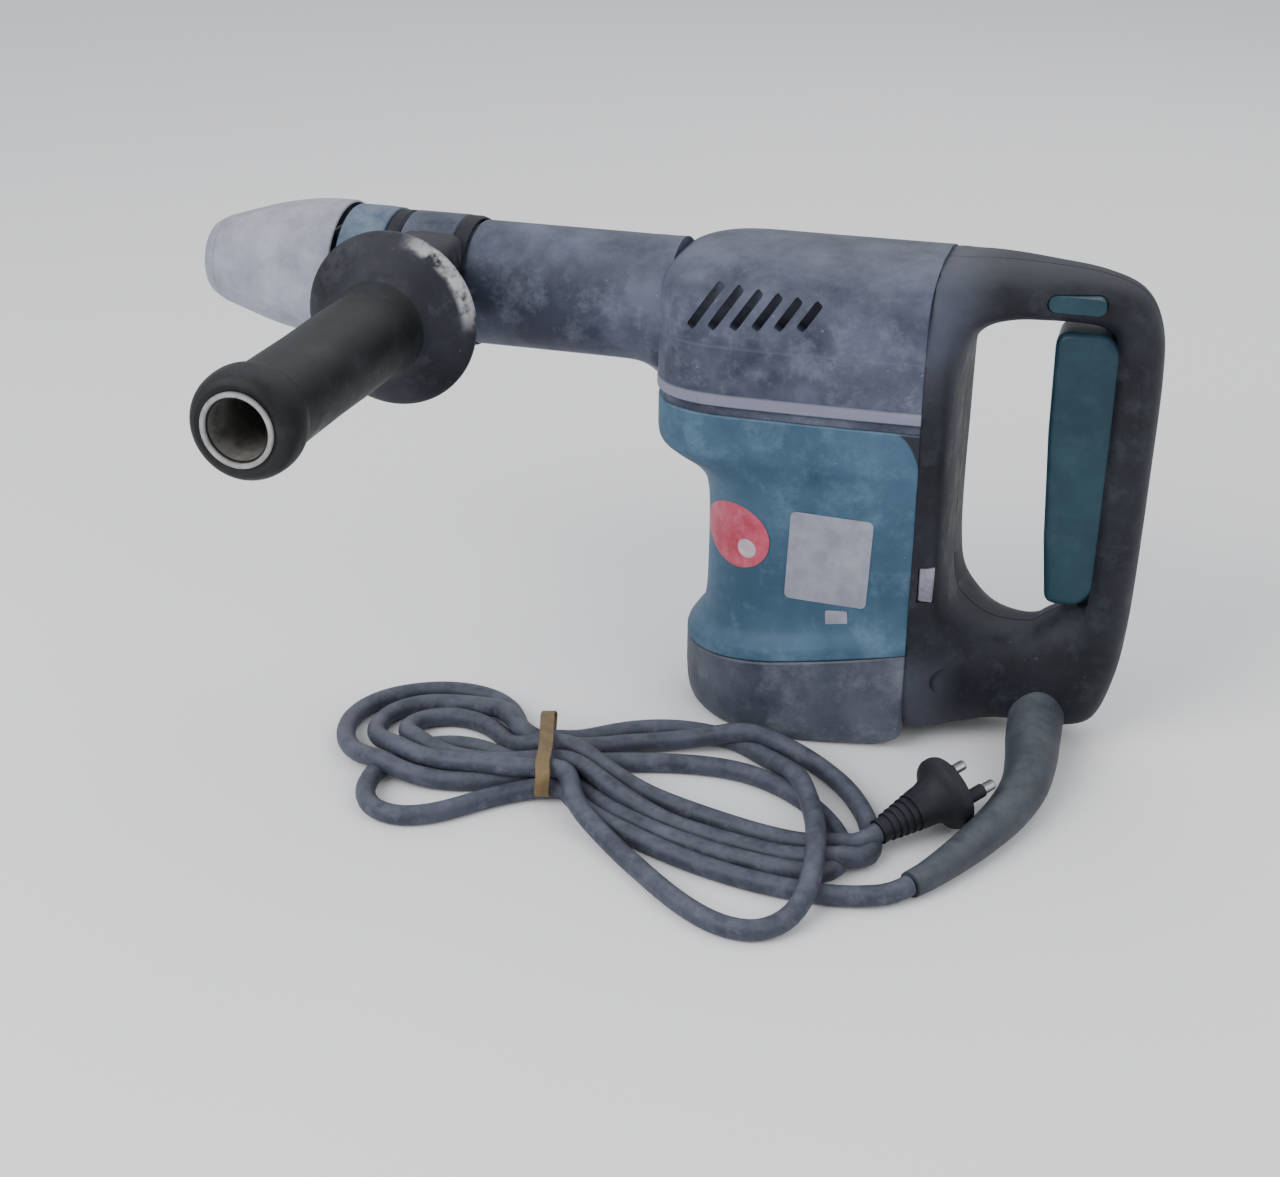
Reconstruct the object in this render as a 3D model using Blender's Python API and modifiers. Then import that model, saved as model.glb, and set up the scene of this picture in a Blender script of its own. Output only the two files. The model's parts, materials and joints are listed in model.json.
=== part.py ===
"""Rotary hammer with a D-handle, a side handle and a tied mains lead.

It stands on its motor base: +Z is up, the nose points along -X and the side
handle along -Y.  The origin is where the motor axis meets the floor.
Dimensions are in millimetres and become metres when the meshes are made.
"""

import math

import bmesh
import bpy
from mathutils import Matrix, Vector

MM = 0.001
GAP = 0.3            # clearance between neighbouring pieces
SEAM = 0.6           # each handle shell keeps this far from the middle plane

# Driving dimensions of the outside
BARREL_Z = 191.0     # height of the hammer axis
BARREL_R = 28.5
NOSE_X = -292.0      # front of the dust cap
BODY_FRONT = 67.0    # reach of the gear housing ahead of the motor axis
BODY_REAR = 57.0     # where the handle shells meet the body
BODY_HALF = 50.0     # half width of the gear housing
WAIST_R = 45.0       # radius of the motor housing around the stator
WALL = 3.0
PARTING_Z = 41.0     # base cover to motor housing, at the motor axis
PARTING_TILT = 0.16  # rise of that joint line per millimetre to the rear
HOUSING_SPLIT_Z = 156.0
BARREL_ROOT_Z = 188.3     # the barrel swells downward where it meets the gear housing
BARREL_ROOT_R = 31.2
LOUVRES = 5          # slanted slots on each side of the gear housing
LOUVRE_X = -38.6     # middle of the foremost one
LOUVRE_PITCH = 9.0
LOUVRE_Z = 204.7
LOUVRE_LEAN = 36.0

# Driving dimensions of the side handle
SIDE_GRIP_X = -174.5
SIDE_GRIP_END = 216.0
SIDE_GRIP_Z = BARREL_Z
CLAMP_INNER_R = 27.5
CLAMP_OUTER_R = 30.2
CLAMP_BOLT_R = 4.0
GRIP_R = 19.5
GRIP_HOLLOW_R = 12.2
GRIP_HOLLOW_DEPTH = 112.0

# Driving dimensions of the mechanism
GEAR_MODULE = 1.7
PINION_TEETH = 6
GEAR_TEETH = 24
GEAR_CENTRES = GEAR_MODULE * (PINION_TEETH + GEAR_TEETH) / 2
CRANK_THROW = 13.0
ROD_LENGTH = 57.0
GUDGEON_X = GEAR_CENTRES - CRANK_THROW - ROD_LENGTH
CRANK_PIN_X = GEAR_CENTRES - CRANK_THROW
PISTON_R = 15.0
BEVEL_TEETH = 8
RING_TEETH = 24
BEVEL_R = 8.5
RING_R = 25.5

ARMATURE_R = 5.0
FAN_BLADES = 9
PIN_R = 4.0              # gudgeon pin
CRANK_PIN_R = 5.0

# Handle
TRIGGER_PIVOT = (125.0, 77.0)
TRIGGER_HALF = 12.8
TRIGGER_PIN_R = 2.2
LOCK_BUTTON_AT = (115.0, 211.5)
LENS_LOW = Vector((60.3, -43.2, 77.0))
LENS_HIGH = Vector((66.7, -36.5, 93.0))

# Mains lead, tied in a hank, with its guard and plug
LEAD_R = 4.4
HANK_FLOOR = 1.6
HANK_TOP = 20.0
TIE_CENTRE = (-90.6, -110.3)
TIE_TURN = math.radians(18.4)
GUARD_ROOT_R = 12.0
GUARD_ROUTE = (
    (115.5, -3.0, 28.0), (115.5, -19.0, 16.5), (116.2, -36.0, 12.6), (117.5, -56.0, 11.0),
    (117.0, -76.0, 9.8), (112.5, -97.0, 8.8), (105.0, -117.0, 7.8), (96.0, -136.0, 7.0),
    (87.5, -151.0, 6.3), (81.5, -160.0, 6.0),
)
GUARD_RADII = (12.0, 12.0, 11.6, 10.6, 9.5, 8.6, 7.6, 6.8, 6.1, 5.8)
CORD_ROUTE = (
    (81.05, -160.6, 5.95), (77.0, -165.4, 5.4), (72.0, -169.4, 5.2), (66.6, -172.4, 5.6),
)
HANK_OUTLINE = (
    (-97.2, -88.5), (-125, -67), (-155, -57), (-180, -71), (-192, -102), (-184, -131),
    (-164, -150), (-158, -168), (-143, -180), (-120, -177), (-101, -155), (-84.0, -132.5),
    (-55, -150), (-25, -180), (-3, -205), (18, -218), (36, -216), (48, -202), (58, -187),
    (64, -168), (61, -140), (51, -112), (38, -86), (24, -67), (0, -64), (-30, -61), (-62, -68),
)
PLUG_NECK = Vector((62.4, -130.8, 9.6))
PLUG_HEAD = Vector((84.5, -106.0, 17.2))
PLUG_PIN_R = 2.4
PLUG_PIN_SPACING = 19.0

LOOKS = {            # base colour, roughness, metallic
    "dusty_grey": ((0.115, 0.12, 0.155), 0.75, 0.0),
    "teal": ((0.055, 0.14, 0.2), 0.6, 0.0),
    "slate": ((0.07, 0.08, 0.1), 0.7, 0.0),
    "black": ((0.012, 0.013, 0.016), 0.6, 0.0),
    "nose_grey": ((0.3, 0.3, 0.34), 0.7, 0.0),
    "blue_ring": ((0.16, 0.25, 0.35), 0.6, 0.0),
    "rubber": ((0.02, 0.021, 0.024), 0.85, 0.0),
    "steel": ((0.5, 0.5, 0.52), 0.3, 1.0),
    "dark_steel": ((0.2, 0.2, 0.22), 0.4, 1.0),
    "aluminium": ((0.6, 0.61, 0.62), 0.4, 1.0),
    "copper": ((0.6, 0.25, 0.12), 0.35, 1.0),
    "brass": ((0.6, 0.45, 0.18), 0.35, 1.0),
    "carbon": ((0.03, 0.03, 0.03), 0.7, 0.0),
    "lens": ((0.5, 0.5, 0.52), 0.2, 0.0),
    "pale_ring": ((0.4, 0.4, 0.4), 0.6, 0.0),
    "lead": ((0.09, 0.1, 0.14), 0.7, 0.0),
    "tan_band": ((0.32, 0.2, 0.08), 0.8, 0.0),
}


# ---------------------------------------------------------------- scene tools

def clear_scene():
    for item in list(bpy.data.objects):
        bpy.data.objects.remove(item, do_unlink=True)


def new_collection(name):
    collection = bpy.data.collections.new(name)
    bpy.context.scene.collection.children.link(collection)
    return collection


clear_scene()
PARTS = new_collection("rotary_hammer")
CUTTERS = new_collection("cutters")


def give_material(obj, look):
    colour, roughness, metallic = LOOKS[look]
    material = bpy.data.materials.new(obj.name + "_finish")
    material.use_nodes = True
    shader = material.node_tree.nodes["Principled BSDF"]
    shader.inputs["Base Color"].default_value = (*colour, 1.0)
    shader.inputs["Roughness"].default_value = roughness
    shader.inputs["Metallic"].default_value = metallic
    obj.data.materials.append(material)


def add_object(name, data, look, at=(0, 0, 0), turn=(0, 0, 0)):
    """Link an object, as a part with a finish, or as a hidden cutter when look is None."""
    obj = bpy.data.objects.new(name, data)
    obj.location = Vector(at) * MM
    obj.rotation_euler = turn
    if look is None:
        CUTTERS.objects.link(obj)
        obj.hide_render = True
        obj.display_type = "WIRE"
    else:
        PARTS.objects.link(obj)
        give_material(obj, look)
    return obj


def finish_bmesh(bm, name):
    bmesh.ops.scale(bm, vec=(MM, MM, MM), verts=bm.verts)
    bmesh.ops.recalc_face_normals(bm, faces=bm.faces)
    mesh = bpy.data.meshes.new(name)
    bm.to_mesh(mesh)
    bm.free()
    mesh.shade_smooth()
    mesh.set_sharp_from_angle(angle=math.radians(35))
    return mesh


def apply_modifiers(obj):
    """Replace the object's mesh by its evaluated one and shade it by angle."""
    depsgraph = bpy.context.evaluated_depsgraph_get()
    mesh = bpy.data.meshes.new_from_object(obj.evaluated_get(depsgraph))
    obj.modifiers.clear()
    obj.data = mesh
    mesh.shade_smooth()
    mesh.set_sharp_from_angle(angle=math.radians(35))


def boolean(target, tool, operation="DIFFERENCE"):
    modifier = target.modifiers.new(tool.name, "BOOLEAN")
    modifier.operation = operation
    modifier.object = tool


def bevel(obj, width, segments=2):
    modifier = obj.modifiers.new("Edges", "BEVEL")
    modifier.width = width * MM
    modifier.segments = segments
    modifier.limit_method = "ANGLE"
    modifier.angle_limit = math.radians(40)


# ------------------------------------------------------------- shape builders

def box(name, low, high, look=None, edge=0.0):
    """A box between two corners, its origin at its centre."""
    low, high = Vector(low), Vector(high)
    bm = bmesh.new()
    bmesh.ops.create_cube(bm, size=1.0)
    bmesh.ops.scale(bm, vec=high - low, verts=bm.verts)
    obj = add_object(name, finish_bmesh(bm, name), look, at=(low + high) / 2)
    if edge:
        bevel(obj, edge)
    return obj


def rod(name, start, end, radius, look=None, steps=24):
    """A cylinder from start to end, its origin at its middle."""
    start, end = Vector(start), Vector(end)
    axis = end - start
    bm = bmesh.new()
    bmesh.ops.create_cone(bm, cap_ends=True, segments=steps, radius1=radius,
                          radius2=radius, depth=axis.length)
    turn = axis.to_track_quat("Z", "Y").to_euler()
    return add_object(name, finish_bmesh(bm, name), look, at=(start + end) / 2, turn=turn)


def turned(name, profile, look, at=(0, 0, 0), turn=(0, 0, 0), steps=24):
    """Turn a (radius, height) profile, which runs down its outer side, about its axis."""
    bm = bmesh.new()
    points = [bm.verts.new((radius * MM, 0, height * MM)) for radius, height in profile]
    for first, second in zip(points, points[1:]):
        bm.edges.new((first, second))
    if profile[0][0] > 0:
        bm.edges.new((points[-1], points[0]))
    mesh = bpy.data.meshes.new(name)
    bm.to_mesh(mesh)
    bm.free()
    obj = add_object(name, mesh, look, at, turn)
    screw = obj.modifiers.new("Turn", "SCREW")
    screw.steps = steps
    screw.render_steps = steps
    screw.use_merge_vertices = True
    screw.merge_threshold = 0.00001
    apply_modifiers(obj)
    return obj


def turned_x(name, profile, look, steps=24):
    """A part turned about the hammer axis; its profile is (radius, x), nose end first."""
    flipped = [(radius, -x) for radius, x in profile]
    return turned(name, flipped, look, (0, 0, BARREL_Z), (0, -math.pi / 2, 0), steps)


def turned_y(name, profile, look, steps=24):
    """A part turned about the side handle's axis; its profile is (radius, distance out)."""
    return turned(name, profile, look, (SIDE_GRIP_X, 0, SIDE_GRIP_Z), (math.pi / 2, 0, 0), steps)


def ring(inner, outer, low, high):
    """Closed profile of a plain ring or bush."""
    return [(outer, high), (outer, low), (inner, low), (inner, high)]


def skin(name, rings, look, closed=(True, True), wrap=False, wall=0.0, at=(0, 0, 0)):
    """Join rings of equal point count by faces, with a wall thickness where it is open."""
    bm = bmesh.new()
    rows = [[bm.verts.new(Vector(point)) for point in points] for points in rings]
    count = len(rows[0])
    pairs = list(zip(rows, rows[1:]))
    if wrap:
        pairs.append((rows[-1], rows[0]))
    for low, high in pairs:
        for i in range(count):
            j = (i + 1) % count
            bm.faces.new((low[i], low[j], high[j], high[i]))
    if closed[0] and not wrap:
        bm.faces.new(list(reversed(rows[0])))
    if closed[1] and not wrap:
        bm.faces.new(rows[-1])
    bmesh.ops.scale(bm, vec=(MM, MM, MM), verts=bm.verts)
    mesh = bpy.data.meshes.new(name)
    bm.to_mesh(mesh)
    bm.free()
    obj = add_object(name, mesh, look, at)
    if wall:
        solidify = obj.modifiers.new("Wall", "SOLIDIFY")
        solidify.thickness = wall * MM
        solidify.offset = -1
        solidify.use_even_offset = True
    return obj


def plate(name, outline, low, high, look=None, edge=0.0, axis="Z", at=(0, 0)):
    """A flat outline given thickness along an axis, from low to high.

    For axis Z the outline is (x, y); for axis Y it is (x, z), from y = low to y = high.
    """
    curve = bpy.data.curves.new(name, "CURVE")
    curve.dimensions = "2D"
    curve.fill_mode = "BOTH"
    curve.extrude = (high - low) / 2 * MM
    spline = curve.splines.new("POLY")
    spline.points.add(len(outline) - 1)
    for point, (u, v) in zip(spline.points, outline):
        point.co = (u * MM, v * MM, 0, 1)
    spline.use_cyclic_u = True
    middle = (low + high) / 2
    if axis == "Y":
        spot, turn = (at[0], middle, at[1]), (math.pi / 2, 0, 0)
    else:
        spot, turn = (at[0], at[1], middle), (0, 0, 0)
    flat = add_object(name + "_outline", curve, None, spot, turn)
    depsgraph = bpy.context.evaluated_depsgraph_get()
    mesh = bpy.data.meshes.new_from_object(flat.evaluated_get(depsgraph))
    bm = bmesh.new()
    bm.from_mesh(mesh)
    bmesh.ops.remove_doubles(bm, verts=bm.verts, dist=0.00001)
    bmesh.ops.recalc_face_normals(bm, faces=bm.faces)
    bm.to_mesh(mesh)
    bm.free()
    mesh.materials.clear()
    mesh.shade_smooth()
    mesh.set_sharp_from_angle(angle=math.radians(35))
    obj = add_object(name, mesh, look, spot, turn)
    bpy.data.objects.remove(flat)
    if edge:
        bevel(obj, edge)
    return obj


def tube(name, points, radius, look, cyclic=False, sides=2, taper=None):
    """A round bar along points; taper gives a radius factor at each point."""
    curve = bpy.data.curves.new(name, "CURVE")
    curve.dimensions = "3D"
    curve.resolution_u = 1
    curve.bevel_depth = radius * MM
    curve.bevel_resolution = sides
    curve.use_fill_caps = True
    spline = curve.splines.new("POLY")
    spline.points.add(len(points) - 1)
    for index, (point, place) in enumerate(zip(spline.points, points)):
        point.co = (*(Vector(place) * MM), 1)
        point.radius = taper[index] if taper else 1.0
    spline.use_cyclic_u = cyclic
    return add_object(name, curve, look)


def smooth_path(points, per_span, closed=False):
    """Points along a Catmull-Rom curve through the given ones."""
    knots = [Vector(point) for point in points]
    if closed:
        knots = [knots[-1]] + knots + knots[:2]
    else:
        knots = [2 * knots[0] - knots[1]] + knots + [2 * knots[-1] - knots[-2]]
    path = []
    for a, b, c, d in zip(knots, knots[1:], knots[2:], knots[3:]):
        for step in range(per_span):
            t = step / per_span
            path.append(0.5 * (2 * b + (c - a) * t + (2 * a - 5 * b + 4 * c - d) * t ** 2
                               + (3 * b - a - 3 * c + d) * t ** 3))
    if not closed:
        path.append(knots[-2])
    return path


def rounded(corners, steps=5):
    """Outline with a rounding at each (u, v, radius) corner."""
    outline = []
    count = len(corners)
    for index, (u, v, radius) in enumerate(corners):
        here = Vector((u, v))
        before = (Vector(corners[index - 1][:2]) - here).normalized()
        after = (Vector(corners[(index + 1) % count][:2]) - here).normalized()
        half = before.angle(after) / 2
        reach = radius / math.tan(half)
        centre = here + (before + after).normalized() * radius / math.sin(half)
        spoke = here + before * reach - centre
        sweep = spoke.angle_signed(here + after * reach - centre)
        for step in range(steps + 1):
            outline.append(tuple(centre + Matrix.Rotation(-sweep * step / steps, 2) @ spoke))
    return outline


def power(value, exponent):
    return math.copysign(abs(value) ** exponent, value)


# ------------------------------------------------------------------ body shell

def body_ring(z, front, half, rear_half, centre=0.0, squareness=2.0, rear=BODY_REAR,
              tilt=0.0, inset=0.0):
    """Outline of the body at one height: a rounded front, flat sides and a flat rear."""
    front, half = front - inset, half - inset
    rear_half, rear = rear_half - inset, rear - inset
    outline = [(rear, rear_half - 5), (rear - 1.5, rear_half - 1.5), (rear - 5, rear_half)]
    share = 0.6     # how far back the flat side has its bend
    outline.append((centre + (rear - centre) * share,
                    rear_half + (half - rear_half) * (1 - share)))
    for step in range(13):
        angle = math.pi / 2 + math.pi * step / 12
        reach = (centre + front) if math.cos(angle) < 0 else 0
        outline.append((centre + reach * power(math.cos(angle), 2 / squareness),
                        half * power(math.sin(angle), 2 / squareness)))
    outline += [(x, -y) for x, y in reversed(outline[:4])]
    outline.append((rear, 0))
    return [(x, y, z + tilt * x) for x, y in outline]


BASE_LEVELS = (      # height, front, half width, rear half width, rear, tilt
    (0.0, 45.0, 44.0, 40.0, 48.0, 0.0),
    (0.8, 48.0, 47.0, 42.5, 52.0, 0.0),
    (3.0, 51.0, 49.0, 44.5, 55.0, 0.0),
    (9.0, 53.2, 50.5, 46.0, 57.0, 0.0),
    (20.0, 54.0, 51.0, 46.0, 57.0, 0.04),
)

MOTOR_LEVELS = (     # height, front, half, rear half, centre, squareness, tilt
    (44.0, 54.0, 51.0, 46.0, 0.0, 2.0, PARTING_TILT),
    (48.0, 52.5, 50.0, 45.5, 0.0, 2.0, PARTING_TILT),
    (54.0, 46.5, 46.0, 44.0, 0.0, 2.0, PARTING_TILT),
    (61.0, 45.0, 45.0, 43.5, 0.0, 2.0, 0.12),
    (84.0, 44.5, WAIST_R, 43.5, 0.0, 2.0, 0.0),
    (106.0, 45.0, WAIST_R, 43.5, 0.0, 2.0, 0.0),
    (118.0, 49.0, WAIST_R, 43.5, -2.0, 2.1, 0.0),
    (127.0, 58.5, 46.0, 44.0, -10.0, 2.4, 0.0),
    (132.5, 64.0, 49.2, 45.5, -16.0, 2.8, 0.0),
    (138.0, 66.5, BODY_HALF, 46.5, -20.0, 3.0, 0.0),
    (148.0, BODY_FRONT, BODY_HALF, 47.5, -20.0, 3.0, 0.0),
    (HOUSING_SPLIT_Z - GAP, BODY_FRONT, BODY_HALF, 48.0, -20.0, 3.0, 0.0),
)

GEAR_HOUSING_LEVELS = (   # height, front, half width, rear half width
    (HOUSING_SPLIT_Z, 65.8, 48.6, 47.0),
    (159.8, 65.8, 48.6, 47.0),
    (160.4, 67.6, 51.0, 49.0),
    (165.6, 67.6, 51.0, 49.0),
    (166.4, BODY_FRONT, BODY_HALF, 48.5),
    (186.0, BODY_FRONT, BODY_HALF, 48.5),
    (206.0, 66.6, BODY_HALF, 48.5),
    (213.0, 65.0, 48.8, 47.5),
    (217.5, 62.0, 45.5, 44.0),
    (220.8, 54.0, 39.0, 37.5),
    (224.7, 36.0, 18.0, 18.0),
)


def base_cover():
    """Cup under the motor, with its intake slots."""
    rings = [body_ring(z, front, half, rear_half, rear=rear, tilt=tilt)
             for z, front, half, rear_half, rear, tilt in BASE_LEVELS]
    rings.append(body_ring(PARTING_Z - GAP, 54.0, 51.0, 46.0, tilt=PARTING_TILT))
    return skin("base_cover", rings, "slate", closed=(True, False), wall=WALL)


def motor_housing():
    rings = [body_ring(PARTING_Z, 54.0, 51.0, 46.0, tilt=PARTING_TILT)]
    rings += [body_ring(z, front, half, rear_half, centre, squareness, tilt=tilt)
              for z, front, half, rear_half, centre, squareness, tilt in MOTOR_LEVELS]
    return skin("motor_housing", rings, "teal", closed=(False, False), wall=WALL)


def gear_housing():
    """Cover of the crank chamber, cut for the barrel and for slanted louvres on each side."""
    rings = [body_ring(z, front, half, rear_half, -20.0, 3.0)
             for z, front, half, rear_half in GEAR_HOUSING_LEVELS]
    shell = skin("gear_housing", rings, "dusty_grey", closed=(False, True), wall=WALL)
    mouth = rod("barrel_mouth", (-90, 0, BARREL_ROOT_Z), (-52, 0, BARREL_ROOT_Z),
                BARREL_ROOT_R + GAP, steps=40)
    mouth.rotation_euler.rotate_axis("Z", math.radians(4))     # no corner on the middle plane
    boolean(shell, mouth)
    for side in (-1, 1):
        for index in range(LOUVRES):
            x = LOUVRE_X + index * LOUVRE_PITCH
            slot = box(f"louvre_cut_{index}_{side}", (-1.6, -8, -11), (1.6, 8, 11))
            slot.location = Vector((x, side * BODY_HALF, LOUVRE_Z)) * MM
            slot.rotation_euler = (0, math.radians(LOUVRE_LEAN), 0)
            boolean(shell, slot)
    return shell


def barrel_housing():
    """Tube around the hammer mechanism, with a seat for the side handle's clamp."""
    sections = (     # x, axis height, radius
        (-198.0, BARREL_Z, 29.6), (-192.0, BARREL_Z, 29.6), (-191.4, BARREL_Z, 27.2),
        (-157.2, BARREL_Z, 27.2), (-156.6, BARREL_Z, BARREL_R), (-84.0, BARREL_Z, BARREL_R),
        (-77.0, 190.6, 28.9), (-71.5, 189.5, 30.0), (-67.5, BARREL_ROOT_Z, BARREL_ROOT_R),
        (-56.0, BARREL_ROOT_Z, BARREL_ROOT_R),
    )
    rings = [[(x, radius * math.cos(angle), height + radius * math.sin(angle))
              for angle in (2 * math.pi * step / 24 for step in range(24))]
             for x, height, radius in sections]
    return skin("barrel_housing", rings, "dusty_grey", closed=(False, False), wall=WALL - 0.6)


# ---------------------------------------------------------------------- handle

HANDLE_STATIONS = (  # inner x, inner z, outer x, outer z, half thickness, squareness
    (69.5, 110.0, 57.3, 110.0, 43.0, 4.0),
    (69.5, 140.0, 57.3, 139.0, 45.0, 4.0),
    (69.5, 166.0, 57.3, 170.0, 47.5, 4.0),
    (70.5, 180.0, 57.3, 199.0, 47.5, 4.0),
    (74.0, 191.5, 57.6, 221.5, 46.5, 3.6),
    (80.5, 198.0, 67.0, 224.4, 42.0, 3.2),
    (90.0, 200.3, 84.0, 224.0, 33.0, 3.0),
    (101.0, 200.3, 102.0, 222.4, 25.5, 2.8),
    (115.0, 199.8, 123.0, 219.8, 20.5, 2.6),
    (125.5, 198.5, 139.0, 212.5, 18.2, 2.5),
    (130.5, 192.0, 149.0, 198.0, 17.2, 2.5),
    (131.0, 172.0, 151.8, 176.0, 17.0, 2.5),
    (131.0, 132.0, 152.4, 132.0, 17.0, 2.5),
    (131.0, 95.0, 151.8, 90.0, 17.5, 2.5),
    (130.5, 74.0, 149.4, 58.0, 18.5, 2.5),
    (126.5, 67.0, 145.5, 36.0, 19.5, 2.6),
    (119.5, 63.5, 138.5, 17.0, 20.5, 2.7),
    (113.5, 58.0, 127.0, 10.4, 21.5, 2.8),
    (108.5, 53.2, 113.0, 10.2, 22.5, 2.9),
    (100.0, 52.0, 96.0, 10.0, 24.5, 3.0),
    (89.0, 53.5, 80.0, 6.8, 29.0, 3.2),
    (79.5, 59.5, 66.0, 4.5, 36.0, 3.6),
    (72.5, 69.0, 57.6, 14.0, 41.5, 4.0),
    (70.0, 84.0, 57.3, 62.0, 43.0, 4.0),
)


def handle_half(name, side):
    """Half of the D-shaped loop, as a shell that is open at the middle plane."""
    outer_run = smooth_path([(s[2], s[3], s[4]) for s in HANDLE_STATIONS], 2, closed=True)
    inner_run = smooth_path([(s[0], s[1], s[5]) for s in HANDLE_STATIONS], 2, closed=True)
    bm = bmesh.new()
    rows = []
    for outer, inner in zip(outer_run, inner_run):
        half, exponent = outer.z, 2 / inner.z
        centre = Vector((outer.x + inner.x, outer.y + inner.y)) / 2
        reach = Vector((outer.x - inner.x, outer.y - inner.y)) / 2
        row = []
        for step in range(8):
            angle = math.pi * step / 7
            along = power(math.cos(angle), exponent)
            across = SEAM + (half - SEAM) * power(math.sin(angle), exponent)
            front = max(centre.x + reach.x * along, BODY_REAR + GAP)
            row.append(bm.verts.new((front, side * across, centre.y + reach.y * along)))
        rows.append(row)
    for low, high in zip(rows, rows[1:] + rows[:1]):
        for i in range(7):
            corners = (low[i], high[i], high[i + 1], low[i + 1])
            bm.faces.new(corners if side > 0 else corners[::-1])
    bmesh.ops.scale(bm, vec=(MM, MM, MM), verts=bm.verts)
    mesh = bpy.data.meshes.new(name)
    bm.to_mesh(mesh)
    bm.free()
    shell = add_object(name, mesh, "black")
    solidify = shell.modifiers.new("Wall", "SOLIDIFY")
    solidify.thickness = WALL * MM
    solidify.offset = -1
    solidify.use_rim = True
    return shell


def handle_shells():
    left = handle_half("handle_left", -1)
    right = handle_half("handle_right", 1)
    slot = box("trigger_slot", (120, -TRIGGER_HALF - GAP, 67.8), (146, TRIGGER_HALF + GAP, 198))
    for shell in (left, right):
        boolean(shell, slot)
    for index in range(2):
        start, end = (Vector(point) for point in GUARD_ROUTE[index:index + 2])
        way = end - start
        boolean(left, rod(f"guard_bore_{index}", start - way * 0.2, end + way * 2,
                          GUARD_ROOT_R + GAP * (2 + index), steps=23))
    boolean(left, box("lens_pocket", LENS_LOW - Vector((GAP, 2, GAP)),
                      LENS_HIGH + Vector((GAP, 6, GAP))))
    boolean(left, lock_button_shape("lock_button_slot", None, GAP, -30, -8))
    return left, right


def lock_button_shape(name, look, spread, low, high):
    """Pill-shaped block along X in the side of the top bar."""
    reach, radius = 12.0 + spread, 3.6 + spread
    outline = rounded([(-reach, -radius, radius * 0.98), (reach, -radius, radius * 0.98),
                       (reach, radius, radius * 0.98), (-reach, radius, radius * 0.98)])
    return plate(name, outline, low, high, look, axis="Y", at=LOCK_BUTTON_AT)


def trigger():
    """Long paddle, hinged at its foot, that fills the front of the grip."""
    px, pz = TRIGGER_PIVOT
    corners = [(113.5, 69.5, 5), (111.0, 100.0, 60), (108.5, 150.0, 90), (108.8, 196.3, 6),
               (129.0, 196.3, 3), (137.5, 188.0, 4), (137.5, 80.0, 6), (128.0, 69.5, 5)]
    outline = [(x - px, z - pz) for x, z in rounded(corners, 3)]
    lever = plate("trigger", outline, -TRIGGER_HALF, TRIGGER_HALF, "teal", axis="Y",
                  at=TRIGGER_PIVOT)
    boolean(lever, rod("trigger_pin_bore", (px, -20, pz), (px, 20, pz), TRIGGER_PIN_R + GAP))
    bevel(lever, 3.0, 1)
    return lever


# ------------------------------------------------------------------ motor

def gear_outline(teeth, pitch_r, phase=0.0, addendum=1.3, dedendum=1.8):
    """Straight-sided teeth with backlash, as (x, y) points."""
    outline = []
    for tooth in range(teeth):
        middle = 2 * math.pi * tooth / teeth + phase
        for share, radius in ((-0.28, -dedendum), (-0.1, addendum), (0.1, addendum),
                              (0.28, -dedendum)):
            angle = middle + share * 2 * math.pi / teeth
            outline.append(((pitch_r + radius) * math.cos(angle),
                            (pitch_r + radius) * math.sin(angle)))
    return outline


def spur_gear(name, teeth, low, high, at, bore=0.0, phase=0.0):
    pitch_r = GEAR_MODULE * teeth / 2
    blank = plate(name, gear_outline(teeth, pitch_r, phase), low, high, "steel", at=at)
    if bore:
        boolean(blank, rod(name + "_bore", (*at, low - 5), (*at, high + 5), bore, steps=20))
    return blank


def motor():
    on_shaft = ARMATURE_R + GAP
    turned("armature_shaft", [(0, 130.6), (ARMATURE_R, 130.6), (ARMATURE_R, 7), (0, 7)], "steel")
    spur_gear("motor_pinion", PINION_TEETH, 131, 148, (0, 0))
    turned("rotor_core", ring(on_shaft, 23, 50, 96), "dark_steel")
    turned("commutator", ring(on_shaft, 13, 23, 39), "copper")
    turned("lower_bearing", ring(on_shaft, 11, 8, 15), "steel")
    turned("upper_bearing", ring(on_shaft, 13, 116, 123.6), "steel")
    stator()
    for index, turn in enumerate((0, math.pi)):
        field_coil(f"field_coil_{index + 1}", turn)
    fan()
    for side, letter in ((-1, "a"), (1, "b")):
        low, high = sorted((side * 13.4, side * 27))
        box(f"carbon_brush_{letter}", (-3, low, 26), (3, high, 36), "carbon")
        low, high = sorted((side * 16, side * 37))
        holder = box(f"brush_holder_{letter}", (-6, low, 23), (6, high, 39), "brass")
        low, high = sorted((side * 10, side * 30))
        boolean(holder, box(f"brush_channel_{letter}", (-3.3, low, 25.7), (3.3, high, 36.3)))


def stator():
    core = turned("stator_core", ring(32, 41, 50, 96), "dark_steel")
    for index, turn in enumerate((0, math.pi)):
        pole = [(r * math.cos(turn + a), r * math.sin(turn + a))
                for r, span in ((24, range(-5, 6)), (33, range(5, -6, -1)))
                for a in (math.radians(9 * step) for step in span)]
        boolean(core, plate(f"pole_{index}", pole, 51, 95), "UNION")


def field_coil(name, turn):
    """Saddle of wire around one pole."""
    radius, half_span, low, high = 28.0, math.radians(60), 46.0, 100.0
    angles = [half_span * (step / 4 - 1) for step in range(9)]
    loop = [(angle, low) for angle in angles] + [(angle, high) for angle in reversed(angles)]
    points = [(radius * math.cos(angle + turn), radius * math.sin(angle + turn), z)
              for angle, z in loop]
    return tube(name, points, 2.6, "copper", cyclic=True)


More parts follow.
